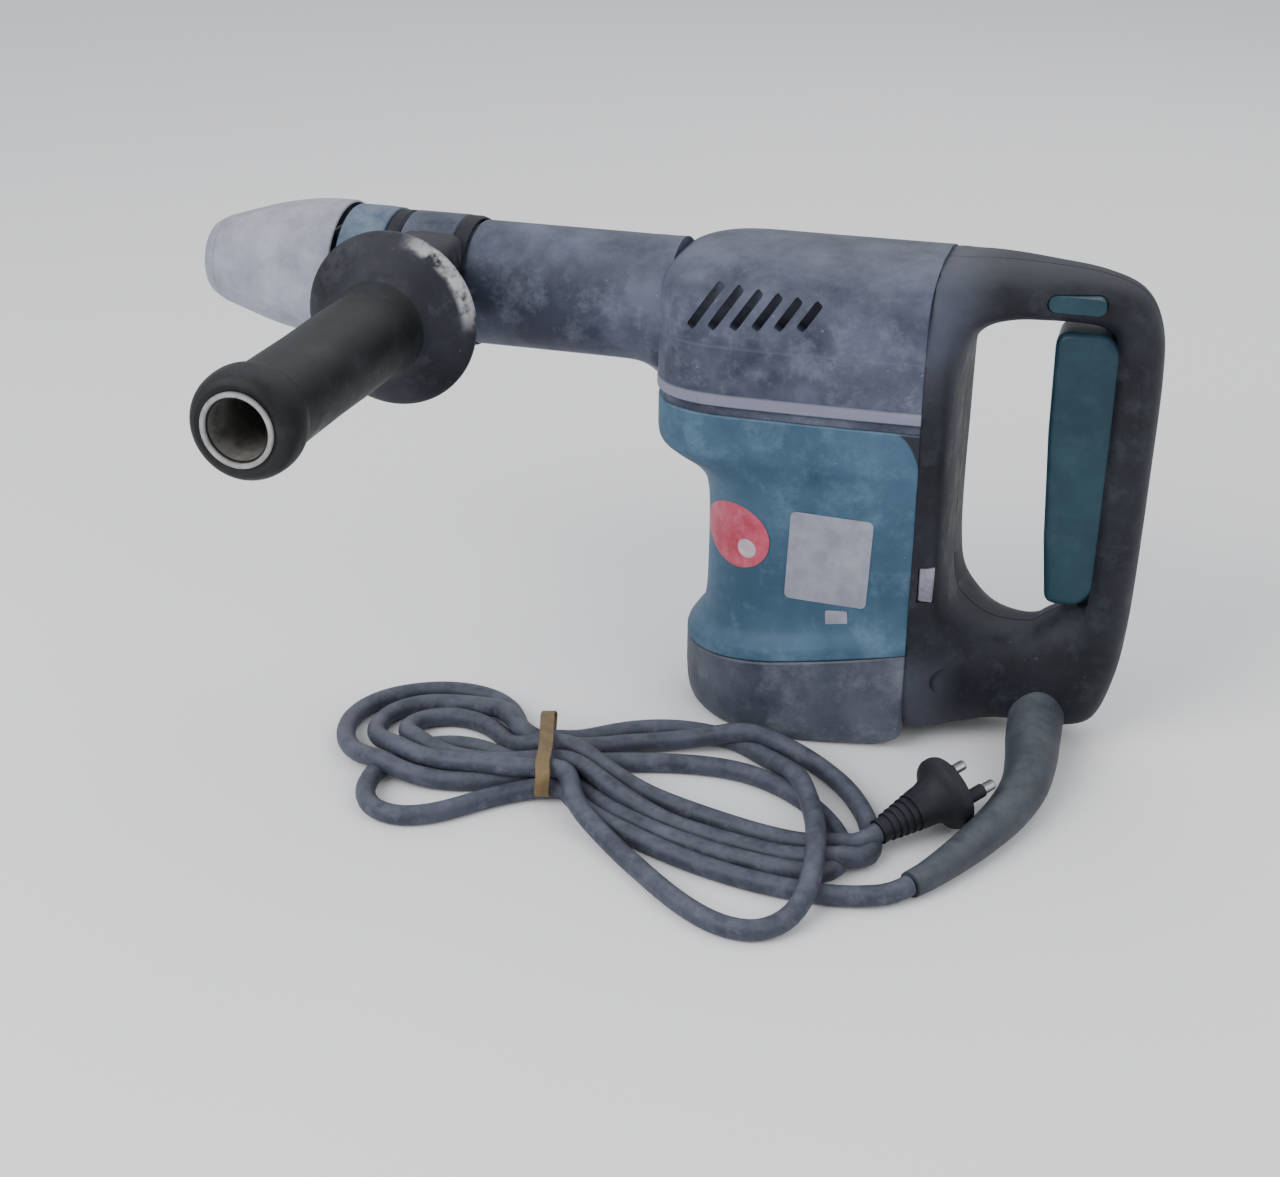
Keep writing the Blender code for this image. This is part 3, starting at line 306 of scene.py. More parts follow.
def make_looks():
    bare = {"specks": 0.0, "metallic": 1.0, "top_dust": 0.0}
    return {
        "upper": worn("worn_grey_housing", (0.026, 0.031, 0.052), (0.082, 0.092, 0.138),
                      dust=(0.25, 0.27, 0.33), dusty=0.46, specks=0.6, top_dust=0.3,
                      patch=ridge_band, patch_colour=(0.17, 0.175, 0.23)),
        "teal": worn("teal_housing", (0.027, 0.067, 0.110), (0.056, 0.115, 0.182),
                     dust=(0.24, 0.34, 0.45), dusty=0.36, specks=0.25, smear_scale=17.0,
                     patch=rear_top_corner, patch_colour=(0.016, 0.018, 0.026)),
        "slate": worn("slate_base", (0.036, 0.042, 0.062), (0.078, 0.086, 0.116),
                      dust=(0.27, 0.29, 0.34), dusty=0.4, specks=0.4),
        "black": worn("black_plastic", (0.0045, 0.005, 0.007), (0.01, 0.011, 0.0145),
                      dust=(0.12, 0.13, 0.16), dusty=0.14, specks=0.12, top_dust=0.2,
                      grain=1500.0, bump=0.3),
        "handle": worn("black_handle", (0.0055, 0.0062, 0.0095), (0.014, 0.016, 0.024),
                       dust=(0.13, 0.145, 0.18), dusty=0.22, specks=0.3, top_dust=0.2,
                       grain=1500.0, bump=0.3, patch=beside_housings,
                       patch_colour=(0.052, 0.058, 0.084)),
        "trigger": worn("teal_trigger", (0.0085, 0.03, 0.046), (0.014, 0.044, 0.062),
                        dust=(0.12, 0.18, 0.22), dusty=0.14, specks=0.05, rough=(0.3, 0.5),
                        top_dust=0.2),
        "nose": worn("dusty_nose", (0.20, 0.215, 0.27), (0.32, 0.33, 0.40),
                     dust=(0.46, 0.44, 0.46), dusty=0.5, specks=0.4, smear_scale=45.0),
        "blue": worn("blue_ring", (0.035, 0.062, 0.105), (0.085, 0.125, 0.185),
                     dust=(0.30, 0.34, 0.40), dusty=0.35, specks=0.2, smear_scale=60.0,
                     top_dust=0.4),
        "rubber": worn("grip_rubber", (0.0038, 0.004, 0.0046), (0.009, 0.0095, 0.011),
                       dust=(0.13, 0.13, 0.145), dusty=0.18, specks=0.15, rough=(0.4, 0.7),
                       grain=1300.0, bump=0.25, top_dust=0.2),
        "guard": worn("guard_rubber", (0.024, 0.028, 0.038), (0.052, 0.058, 0.072),
                      dust=(0.22, 0.24, 0.28), dusty=0.3, specks=0.15, rough=(0.45, 0.7),
                      top_dust=0.3),
        # The flange's patch is a painted highlight: a pale crescent where light catches the rim.
        "flange": worn("flange_painted_highlight", (0.007, 0.008, 0.011), (0.018, 0.02, 0.029),
                       dust=(0.17, 0.175, 0.20), dusty=0.28, specks=0.3, rough=(0.45, 0.8),
                       top_dust=0.22, patch=rim_painted_highlight, patch_colour=(0.38, 0.38, 0.39)),
        "lead": worn("lead_jacket", (0.03, 0.035, 0.052), (0.058, 0.064, 0.092),
                     dust=(0.22, 0.23, 0.28), dusty=0.4, specks=0.15, rough=(0.4, 0.7),
                     smear_scale=55.0, top_dust=0.36),
        "band": worn("tan_band", (0.105, 0.07, 0.03), (0.175, 0.115, 0.052),
                     dust=(0.24, 0.19, 0.12), dusty=0.3, specks=0.0, smear_scale=120.0),
        "pale": worn("worn_pale_ring", (0.20, 0.20, 0.20), (0.34, 0.34, 0.33),
                     dust=(0.11, 0.10, 0.085), dusty=0.5, specks=0.1, smear_scale=120.0),
        "hollow": worn("dusty_hollow", (0.055, 0.054, 0.054), (0.14, 0.137, 0.13),
                       dust=(0.26, 0.245, 0.215), dusty=0.6, specks=0.3, smear_scale=90.0),
        "steel": worn("turned_steel", (0.32, 0.32, 0.33), (0.42, 0.42, 0.43),
                      dust=(0.16, 0.13, 0.11), dusty=0.35, rough=(0.25, 0.5), **bare),
        "dark": worn("dark_recess", (0.006, 0.006, 0.008), (0.016, 0.017, 0.022),
                     dust=(0.08, 0.085, 0.10), dusty=0.3, specks=0.0, top_dust=0.2),
        "copper": worn("copper_winding", (0.42, 0.15, 0.06), (0.55, 0.22, 0.10), dusty=0.0,
                       rough=(0.25, 0.45), **bare),
        "brass": worn("satin_brass", (0.52, 0.37, 0.13), (0.62, 0.46, 0.18), dusty=0.0,
                      rough=(0.25, 0.45), **bare),
        "aluminium": worn("cast_aluminium", (0.42, 0.43, 0.44), (0.52, 0.53, 0.54), dusty=0.05,
                          rough=(0.35, 0.55), **bare),
        "red": worn("red_sticker", (0.34, 0.03, 0.06), (0.46, 0.085, 0.13),
                    dust=(0.46, 0.28, 0.34), dusty=0.45, specks=0.1, smear_scale=70.0,
                    rough=(0.3, 0.5), bump=0.03, top_dust=0.2),
        "label": worn("pale_label", (0.2, 0.205, 0.255), (0.3, 0.3, 0.36),
                      dust=(0.18, 0.20, 0.26), dusty=0.5, specks=0.2, smear_scale=70.0,
                      rough=(0.35, 0.55), bump=0.03, top_dust=0.3),
        "mark": worn("pale_mark", (0.34, 0.3, 0.34), (0.5, 0.42, 0.46),
                     dust=(0.45, 0.25, 0.28), dusty=0.5, specks=0.1, smear_scale=150.0,
                     rough=(0.4, 0.6), bump=0.03),
        "lens": worn("clouded_lens", (0.14, 0.14, 0.18), (0.24, 0.23, 0.29),
                     dust=(0.36, 0.36, 0.42), dusty=0.4, specks=0.1, smear_scale=200.0,
                     rough=(0.1, 0.3), bump=0.0),
    }


# ----------------------------------------------------------- shape builders

def add_piece(name, mesh, look, body="body", node=None):
    """Link a mesh as a piece in one material, on a body and in place of a CAD node."""
    mesh.name = name
    mesh.materials.clear()
    mesh.materials.append(LOOKS[look])
    piece = placed(name, mesh)
    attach(piece, body)
    if node:
        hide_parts(node)
    return piece


def shaded(mesh):
    mesh.shade_smooth()
    mesh.set_sharp_from_angle(angle=math.radians(32))
    return mesh


def mesh_of(bm):
    bmesh.ops.scale(bm, vec=(MM, MM, MM), verts=bm.verts)
    bmesh.ops.recalc_face_normals(bm, faces=bm.faces)
    mesh = bpy.data.meshes.new("shape")
    bm.to_mesh(mesh)
    bm.free()
    return shaded(mesh)


def bevel(piece, width, segments=3, angle=30):
    modifier = piece.modifiers.new("Edges", "BEVEL")
    modifier.width = width * MM
    modifier.segments = segments
    modifier.limit_method = "ANGLE"
    modifier.angle_limit = math.radians(angle)
    return piece


def settle(piece):
    """Apply a piece's modifiers to its mesh."""
    depsgraph = bpy.context.evaluated_depsgraph_get()
    mesh = bpy.data.meshes.new_from_object(piece.evaluated_get(depsgraph))
    piece.modifiers.clear()
    piece.data = mesh
    shaded(mesh)
    return piece


def cut(piece, cutters):
    """Cut closed meshes out of a piece."""
    for index, cutter in enumerate(cutters):
        tool = placed(f"cutter_{index}", cutter)
        modifier = piece.modifiers.new(f"Cut{index}", "BOOLEAN")
        modifier.operation = "DIFFERENCE"
        modifier.object = tool
    settle(piece)
    for tool in [o for o in bpy.data.objects if o.name.startswith("cutter_")]:
        bpy.data.objects.remove(tool)
    return piece


def catmull(rows, per_span, closed=False):
    """Rows of numbers along a Catmull-Rom curve through the given rows."""
    knots = [np.array(row, float) for row in rows]
    if closed:
        knots = [knots[-1]] + knots + knots[:2]
    else:
        knots = [2 * knots[0] - knots[1]] + knots + [2 * knots[-1] - knots[-2]]
    path = []
    for a, b, c, d in zip(knots, knots[1:], knots[2:], knots[3:]):
        for step in range(per_span):
            t = step / per_span
            path.append(0.5 * (2 * b + (c - a) * t + (2 * a - 5 * b + 4 * c - d) * t ** 2
                               + (3 * b - a - 3 * c + d) * t ** 3))
    if not closed:
        path.append(knots[-2])
    return path


def loft(rings, wrap=False):
    """A closed mesh that joins rings of equal point count, with end caps or back to the first."""
    bm = bmesh.new()
    rows = [[bm.verts.new(Vector(point)) for point in ring] for ring in rings]
    count = len(rows[0])
    pairs = list(zip(rows, rows[1:])) + ([(rows[-1], rows[0])] if wrap else [])
    for low, high in pairs:
        for i in range(count):
            j = (i + 1) % count
            bm.faces.new((low[i], low[j], high[j], high[i]))
    if not wrap:
        bm.faces.new(rows[0][::-1])
        bm.faces.new(rows[-1])
    return mesh_of(bm)


def lathe(profile, axis="X", steps=96, centre=(0.0, BARREL_Z)):
    """Turn a closed (radius, place along the axis) profile about a line along X or Y."""
    rings = []
    for angle in turns(steps):
        ring = []
        for radius, along in profile:
            across, up = radius * math.cos(angle), radius * math.sin(angle)
            if axis == "X":
                ring.append((along, centre[0] + across, centre[1] + up))
            else:
                ring.append((centre[0] + across, along, centre[1] + up))
        rings.append(ring)
    return loft(rings, wrap=True)


def power(value, exponent):
    return math.copysign(abs(value) ** exponent, value)


def slab(outline, low, high):
    """A closed (x, z) outline pushed from one y to another."""
    return loft([[(x, depth, z) for x, z in outline] for depth in (low, high)])


def disc(centre, direction, radius, depth, steps=32):
    """A closed short cylinder that starts at centre and goes along direction."""
    bm = bmesh.new()
    bmesh.ops.create_cone(bm, cap_ends=True, segments=steps, radius1=radius, radius2=radius,
                          depth=depth)
    way = Vector(direction).normalized()
    turn = way.to_track_quat("Z", "Y").to_matrix().to_4x4()
    shift = Matrix.Translation(Vector(centre) + way * depth / 2)
    bmesh.ops.transform(bm, matrix=shift @ turn, verts=bm.verts)
    return mesh_of(bm)


def joined(meshes):
    """Several meshes as one."""
    bm = bmesh.new()
    for mesh in meshes:
        bm.from_mesh(mesh)
    whole = bpy.data.meshes.new("shape")
    bm.to_mesh(whole)
    bm.free()
    return shaded(whole)


# -------------------------------------------------------------- mains lead

def over_the_tie(offset, height, leftward):
    """Three points where a strand passes under the band, offset across the bundle."""
    along = Vector((math.cos(TIE_TURN), math.sin(TIE_TURN), 0))
    across = Vector((-along.y, along.x, 0))
    middle = TIE_CENTRE + across * offset + Vector((0, 0, height))
    points = [middle - along * 13, middle, middle + along * 13]
    return points[::-1] if leftward else points


def at_height(points, height):
    return [Vector((x, y, height)) for x, y in points]


def hank_route():
    """The lead from the guard's end through the turns of its hank to the plug's neck."""
    route = [Vector(p) for p in ((81.05, -160.6, 5.95), (77, -165.4, 5.4), (72, -169.4, 5.2),
                                 (66.6, -172.4, 5.6))]
    route += at_height([(56, -175), (46, -176), (30, -176), (9, -173), (-18, -165), (-41, -154),
                        (-64, -143)], 5)
    route += over_the_tie(-21, 5.4, True)
    route += at_height([(-109, -148), (-121, -164), (-137, -174), (-154, -169), (-163, -149),
                        (-160, -124), (-146, -106), (-126, -102)], 5)
    route += over_the_tie(1, 5.4, False)
    route += at_height([(-58, -97), (-32, -90), (-7, -88), (16, -97), (35, -113), (50, -134),
                        (55, -152), (46, -163), (28, -163), (5, -160), (-22, -153),
                        (-44, -143), (-65, -132)], 6.5)
    route += over_the_tie(-11, 5.6, True)
    route += at_height([(-114, -133), (-140, -140), (-166, -136), (-187, -117), (-194, -95),
                        (-187, -73), (-168, -58), (-146, -53), (-122, -63)], 8.5)
    route += over_the_tie(20, 5.6, False)
    route += at_height([(-68, -69), (-48, -59.5), (-28, -58.5), (-9, -65), (9, -80), (25, -104),
                        (37, -134), (44, -168), (44, -196), (31, -212), (12, -210), (-11, -194),
                        (-33, -174), (-52, -158), (-68, -146)], 11)
    route += over_the_tie(-17, 14.4, True)
    route += at_height([(-114, -131), (-140, -131), (-163, -123), (-178, -106), (-179, -86),
                        (-166, -70), (-145, -66), (-120, -75)], 11)
    route += over_the_tie(12, 14.5, False)
    route += at_height([(-63, -80), (-42, -73), (-20, -68), (-1, -65), (18, -68), (36, -82)], 14.5)
    route += at_height([(52, -105), (62, -131), (61, -150), (48, -156), (28, -153), (3, -149),
                        (-26, -142), (-46, -134), (-66, -124)], 9)
    route += over_the_tie(-6, 14.5, True)
    route += at_height([(-118, -122), (-140, -122), (-158, -113), (-166, -97), (-159, -82),
                        (-142, -77), (-121, -86)], 12)
    route += over_the_tie(4, 14.5, False)
    route += at_height([(-68, -108), (-50, -117), (-30, -126), (-4, -134), (20, -140)], 6.5)
    neck_way = (PLUG_HEAD - PLUG_NECK).normalized()
    return route + [PLUG_NECK - neck_way * 13 - Vector((3, 0, 0)), PLUG_NECK + neck_way * 0.4]


def even_line(points, spacing):
    points = np.array(points, float)
    along = np.concatenate([[0], np.cumsum(np.linalg.norm(np.diff(points, axis=0), axis=1))])
    at = np.linspace(0, along[-1], max(2, round(along[-1] / spacing) + 1))
    return np.stack([np.interp(at, along, points[:, k]) for k in range(3)], axis=1)


def settled_lead():
    """Let the strands push each other apart and sink to the floor, so that they lie in layers."""
    aside, lift, longest = 0.55, 0.9, 0.8    # shares of a push, and the most in one round
    sink, home_pull, late_home_pull = 0.07, 0.02, 0.06
    near_along, near_across = 9, 40    # a point this close to the band's middle is in the bundle
    bundle_half, bundle_low, bundle_top = 22.5, 1.4, 20
    line = even_line(catmull(hank_route(), 8), 3.6)
    index = np.arange(len(line))
    apart = np.abs(index[:, None] - index[None, :]) > 8    # not neighbours along the lead
    free = np.ones(len(line), bool)
    free[:HELD_POINTS] = False
    free[-HELD_AT_PLUG:] = False
    home = line.copy()
    diameter = 2 * LEAD_R
    along = np.array((math.cos(TIE_TURN), math.sin(TIE_TURN)))
    across = np.array((-along[1], along[0]))
    for _ in range(SETTLE_ROUNDS):
        difference = line[:, None, :] - line[None, :, :]
        distance = np.linalg.norm(difference, axis=2)
        close = apart & (distance < diameter)
        push = np.where(close, (diameter - distance) / np.maximum(distance, 0.5), 0.0)
        difference[:, :, :2] *= aside
        difference[:, :, 2] += np.sign(home[:, None, 2] - home[None, :, 2]) * lift
        move = (push[:, :, None] * difference).sum(axis=1)
        move /= np.maximum(close.sum(axis=1), 1)[:, None]
        move = np.clip(move, -longest, longest)
        line[free] += 0.5 * move[free]
        line[free, 2] -= sink
        line[free, :2] += home_pull * (home[free, :2] - line[free, :2])
        for _ in range(3):    # smooth out the kinks
            middle = 0.5 * (line[:-2] + line[2:])
            inner = free[1:-1]
            line[1:-1][inner] += 0.5 * (middle[inner] - line[1:-1][inner])
        line[free, :2] += late_home_pull * (home[free, :2] - line[free, :2])
        line[free, 2] = np.maximum(line[free, 2], LEAD_R + FLOOR_GAP)
        offset = line[:, :2] - np.array(TIE_CENTRE.xy)
        near_tie = (free & (np.abs(offset @ along) < near_along)
                    & (np.abs(offset @ across) < near_across))
        wide = np.clip(offset @ across, -bundle_half, bundle_half) - offset @ across
        line[near_tie, :2] += wide[near_tie, None] * across
        line[near_tie, 2] = np.clip(line[near_tie, 2], LEAD_R + bundle_low,
                                    bundle_top - LEAD_R - 0.4)
        from_motor = np.hypot(line[:, 0], line[:, 1])
        too_near = free & (from_motor < MOTOR_CLEAR)
        line[too_near, :2] *= (MOTOR_CLEAR / from_motor[too_near])[:, None]
    return line


def make_lead():
    line = even_line(settled_lead(), 4.0)
    curve = bpy.data.curves.new("lead", "CURVE")
    curve.dimensions = "3D"
    curve.bevel_depth = LEAD_R * MM
    curve.bevel_resolution = 6
    curve.use_fill_caps = True
    spline = curve.splines.new("POLY")
    spline.points.add(len(line) - 1)
    for point, place in zip(spline.points, line):
        point.co = (*(place * MM), 1)
    spline.use_smooth = True
    curve.materials.append(LOOKS["lead"])
    lead = placed("mains_lead", curve)
    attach(lead, "body")
    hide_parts("power_cord", "cord_hank")
    length = float(np.linalg.norm(np.diff(line, axis=0), axis=1).sum()) * MM
    return lead, length


def make_guard():
    """Tapered rubber sleeve from the handle's foot to the lead."""
    route = [(115.5, -3, 28), (115.5, -19, 16.5), (116.2, -36, 12.6), (117.5, -56, 11),
             (117, -76, 9.8), (112.5, -97, 8.8), (105, -117, 7.8), (96, -136, 7),
             (87.5, -151, 6.3), (81.5, -160, 6)]
    radii = (12.6, 12.6, 12.3, 11.4, 10.3, 9.3, 8.2, 7.1, 6.1, 5.6)
    path = catmull([(*point, radius) for point, radius in zip(route, radii)], 12)
    rings = []
    for index, row in enumerate(path):
        before, after = path[max(index - 1, 0)], path[min(index + 1, len(path) - 1)]
        way = Vector(after[:3] - before[:3]).normalized()
        side = way.cross(Vector((0, 0, 1))).normalized()
        top = side.cross(way)
        radius = row[3]
        centre = Vector(row[:3])
        centre.z = max(centre.z, radius + 0.2)
        rings.append([centre + (side * math.cos(a) + top * math.sin(a)) * radius
                      for a in turns(40)])
    return add_piece("lead_guard", loft(rings), "guard", node="cord_guard")


def make_tie():
    """A flat rubber band round the hank's middle, a little askew."""
    low, high, reach = 1.5, 20.3, 29.2
    middle_z = (low + high) / 2
    turn = Matrix.Rotation(TIE_TURN, 4, "Z")
    section = [(-2.9, -0.45), (2.9, -0.45), (3.2, 0), (2.9, 0.5), (-2.9, 0.5), (-3.2, 0)]
    rings = []
    for angle in turns(96):
        across = reach * power(math.cos(angle), 0.55)
        up = (high - low) / 2 * power(math.sin(angle), 0.62)
        skew = 1.6 * math.cos(angle) + 0.3 * math.sin(5 * angle)
        out = Vector((0, across / reach, up / (high - low) * 2)).normalized()
        centre = Vector((skew, across, middle_z + up))
        rings.append([turn @ (centre + Vector((wide, 0, 0)) + out * thick) + TIE_CENTRE
                      for wide, thick in section])
    return add_piece("hank_band", loft(rings, wrap=True), "band", node="cord_tie")


def make_plug():
    """Round plug head with finger flange, on a ribbed neck."""
    axis = PLUG_HEAD - PLUG_NECK
    length = axis.length
    profile = [(radius, length + past) for radius, past in (
        (0.05, 6), (14.6, 6), (15.8, 5.4), (16.4, 4), (16.4, 1.4), (15.6, 0), (13.2, -1.6),
        (10.6, -4), (9.4, -8), (8.8, -13))]
    ribs = 5
    for rib in range(ribs):
        top = length - 14 - rib * 3.2
        radius = 8.4 - rib * 0.55
        profile += [(radius, top), (radius, top - 1.9), (radius - 0.9, top - 2),
                    (radius - 0.9, top - 3.1)]
    profile += [(5.5, 0.6), (0.05, 0.6)]
    steps = 48
    turn = axis.to_track_quat("Z", "Y").to_matrix()
    rings = [[PLUG_NECK + turn @ Vector((radius * math.cos(a), radius * math.sin(a), along))
              for radius, along in profile]
             for a in turns(steps)]
    return add_piece("plug_moulding", loft(rings, wrap=True), "black", node="plug_body")


def plug_pins():
    """Two pins with insulated roots."""
    axis = (PLUG_HEAD - PLUG_NECK).normalized()
    sideways = axis.cross(Vector((0, 0, 1))).normalized()
    pieces = []
    for side, letter in ((-1, "a"), (1, "b")):
        root = PLUG_HEAD + axis * 6.3 + sideways * side * 9.5
        tip = add_piece(f"plug_tip_{letter}", disc(root, axis, 2.3, 15), "steel",
                        node=f"plug_pin_{letter}")
        bevel(tip, 0.9)
        sleeve = add_piece(f"plug_sleeve_{letter}", disc(root, axis, 3.0, 9), "black")
        bevel(sleeve, 0.3)
        pieces += [tip, sleeve]
    return pieces


# ---------------------------------------------------------------- housings

def body_ring(z, front, half, rear_half, centre=0.0, squareness=2.0, rear=BODY_REAR,
              tilt=0.0, corner_r=0.5, steps=72):
    """Outline of the body at one height: a rounded front, flat sides and a flat rear."""
    corner = [(rear, rear_half - corner_r)]
    corner += [(rear - corner_r + corner_r * math.cos(a), rear_half - corner_r
                + corner_r * math.sin(a)) for a in (math.radians(15 * k) for k in range(1, 7))]
    side = [(centre + (rear - corner_r - centre) * share, rear_half + (half - rear_half)
             * (1 - share * share)) for share in (0.9, 0.75, 0.6, 0.45, 0.3, 0.15)]
    outline = corner + side
    mirrored = [(x, -y) for x, y in reversed(outline)]
    for step in range(steps + 1):
        angle = math.pi / 2 + math.pi * step / steps
        reach = centre + front
        outline.append((centre + reach * power(math.cos(angle), 2 / squareness),
                        half * power(math.sin(angle), 2 / squareness)))
    outline += mirrored
    outline.append((rear, 0))
    return [(x, y, z + tilt * x) for x, y in outline]


def base_shell():
    levels = [(0, 45, 44, 37, 41, 0, 8), (0.5, 47.2, 46.4, 40, 45, 0, 8),
              (1.6, 49.8, 48, 42.2, 48.6, 0, 7), (3.6, 51.6, 49.3, 43.8, 52.4, 0, 6),
              (6.2, 52.6, 50, 45, 55.4, 0, 4), (9.5, 53.3, 50.5, 45.7, 57, 0, 2.5),
              (20, 54, 51, 46, 57, 0.04, 1.6)]
    rings = [body_ring(z, front, half, rear_half, rear=rear, tilt=tilt, corner_r=corner_r)
             for z, front, half, rear_half, rear, tilt, corner_r in levels]
    rings.append(body_ring(PARTING_Z - 1.0, 54.0, 51.0, 46.0, tilt=PARTING_TILT))
    rings.append(body_ring(PARTING_Z - 0.3, 53.5, 50.5, 45.6, tilt=PARTING_TILT))
    add_piece("base_shell", loft(rings), "slate", node="base_cover")
    add_piece("base_seam", loft([
        body_ring(PARTING_Z - 1.4, 52.9, 49.9, 45.0, tilt=PARTING_TILT),
        body_ring(PARTING_Z + 1.2, 52.9, 49.9, 45.0, tilt=PARTING_TILT)]), "dark")


def motor_shell():
    levels = [(PARTING_Z + 0.3, 53.4, 50.4, 45.6, 0, 2, PARTING_TILT),
              (PARTING_Z + 1, 54, 51, 46, 0, 2, PARTING_TILT),
              (44.6, 54, 51, 46, 0, 2, PARTING_TILT)]
    bowl = [(46.5, 53.4, 50.6, 45.8, 0, 2, PARTING_TILT),
            (50, 50.8, 48.8, 45, 0, 2, PARTING_TILT),
            (55, 46.6, 46.2, 44.2, 0, 2, 0.15), (62, 45, 45, 43.6, 0, 2, 0.11),
            (76, 44.6, WAIST_R, WAIST_REAR, 0, 2, 0.03),
            (92, 44.6, WAIST_R, WAIST_REAR, 0, 2, 0),
            (106, 45.2, WAIST_R, WAIST_REAR, 0, 2, 0),
            (116, 47.6, WAIST_R, WAIST_REAR, -1, 2.05, 0),
            (124, 54, 45.4, 43.8, -7, 2.25, 0),
            (130, 61.4, 47.4, 44.8, -13, 2.6, 0),
            (135, 65.4, 49.5, 46, -18, 2.9, 0),
            (140, 66.8, BODY_HALF, 46.8, -20, 3, 0),
            (148, BODY_FRONT, BODY_HALF, 47.5, -20, 3, 0)]
    levels += [tuple(row) for row in catmull(bowl, 4)]
    levels += [(HOUSING_SPLIT_Z - 0.8, BODY_FRONT, BODY_HALF, 48, -20, 3, 0),
               (HOUSING_SPLIT_Z - 0.3, 66.5, 49.5, 47.6, -20, 3, 0)]
    rings = [body_ring(z, front, half, rear_half, centre, squareness, tilt=tilt)
             for z, front, half, rear_half, centre, squareness, tilt in levels]
    add_piece("motor_shell", loft(rings), "teal", node="motor_housing")


def upper_shell():
    sharp = [(HOUSING_SPLIT_Z, 65.8, 48.6, 47), (159.4, 65.8, 48.6, 47),
             (160, 66.8, 50.2, 48.4), (160.7, 67.6, 51, 49), (165.2, 67.6, 51, 49),
             (166, 67.2, 50.4, 48.7)]
    sharp += [(167, 67.3, 50.6, 49), (186.6, 67.3, 50.6, 49), (187.4, 66.8, 49.9, 48.3)]
    dome = [(188, 66.8, 49.8, 48.2), (198, 66.8, 49.6, 48.2),
            (205.5, 66.3, 48.7, 47.5), (210.4, 64.7, 45.4, 45), (214.4, 61.8, 40.2, 40.6),
            (217.7, 56.4, 33.4, 34.2), (220.8, 46.6, 24, 25), (223.2, 31, 11, 12)]
    rings = [body_ring(*level, -20.0, 3.0)
             for level in sharp + [tuple(row) for row in catmull(dome, 4)]]
    shell = add_piece("upper_shell", loft(rings), "upper", node="gear_housing")
    slots = []
    for side in (-1, 1):
        for index in range(LOUVRES):
            height = LOUVRE_REACH - 0.9 * index
            outline = [(across, up) for across, up in (
                (-1.4, -height), (1.4, -height), (1.9, -height + 1), (1.9, height - 1),
                (1.4, height), (-1.4, height), (-1.9, height - 1), (-1.9, -height + 1))]
            lean = math.radians(LOUVRE_LEAN)
            outline = [(LOUVRE_X + LOUVRE_PITCH * index + across * math.cos(lean)
                        + up * math.sin(lean),
                        LOUVRE_Z - across * math.sin(lean) + up * math.cos(lean))
                       for across, up in outline]
            near, far = sorted((side * (BODY_HALF - LOUVRE_DEPTH), side * (BODY_HALF + 6.0)))
            slots.append(slab(outline, near, far))
        groove = [(LOUVRE_X + 8, GROOVE_LOW), (46, GROOVE_LOW), (46, GROOVE_TOP),
                  (LOUVRE_X + 8, GROOVE_TOP)]
        near, far = sorted((side * 42.2, side * (BODY_HALF + 6.0)))
        slots.append(slab(groove, near, far))
    cut(shell, slots)
    bevel(shell, 0.5, 2, 50)
    backing = []
    floor = BODY_HALF - LOUVRE_DEPTH
    for side in (-1, 1):
        near, far = sorted((side * (floor - 1), side * (floor + 0.5)))
        last = LOUVRE_X + LOUVRE_PITCH * LOUVRES
        outline = [(LOUVRE_X - 12, 190), (last + 4, 190), (last + 4, 212), (LOUVRE_X - 4, 212)]
        backing.append(slab(outline, near, far))
    add_piece("louvre_backing", joined(backing), "slate")


def barrel():
    sections = [(x, BARREL_Z, radius) for x, radius in (
        (-198, 29.2), (-197.4, 29.6), (-192.4, 29.6), (-191.8, 29), (-191.4, 27.2),
        (-157.2, 27.2), (-156.9, 28.1), (-156.2, 28.5))]
    sections += [tuple(row) for row in catmull([
        (-155, BARREL_Z, 28.5), (-130, BARREL_Z, 28.5), (-105, BARREL_Z, 28.5),
        (-88, BARREL_Z, 28.55), (-80, 190.8, 28.7), (-75, 190.2, 29.3),
        (-71, 189.3, 30.3), (-67.5, 188.3, 31.2), (-61, 188.3, 31.4)], 4)]
    steps = 96
    rings = [[(x, radius * math.cos(a), height + radius * math.sin(a))
              for a in turns(steps)]
             for x, height, radius in sections]
    add_piece("barrel_shell", loft(rings), "upper", node="barrel_housing")


# ------------------------------------------------------------------ handle

def handle_half(name, side, node):
    """Half of the D-shaped loop: half rings around it, closed at the middle plane."""
    stations = catmull(HANDLE_STATIONS, 6, closed=True)
    steps = 28
    rings = []
    for inner_x, inner_z, outer_x, outer_z, half, squareness in stations:
        centre = Vector(((outer_x + inner_x) / 2, (outer_z + inner_z) / 2))
        reach = Vector(((outer_x - inner_x) / 2, (outer_z - inner_z) / 2))
        lip = 1 - 0.35 / reach.length      # the chamfer along the seam between the halves
        profile = [(lip, 0.1)]
        for step in range(steps + 1):
            angle = math.pi * step / steps
            profile.append((power(math.cos(angle), 2 / squareness),
                            0.5 + (half - 0.5) * power(math.sin(angle), 2 / squareness)))
        profile.append((-lip, 0.1))
        rings.append([(max(centre.x + reach.x * along, HANDLE_FACE_X), side * across,
                       centre.y + reach.y * along) for along, across in profile])
    return add_piece(name, loft(rings, wrap=True), "handle", node=node)


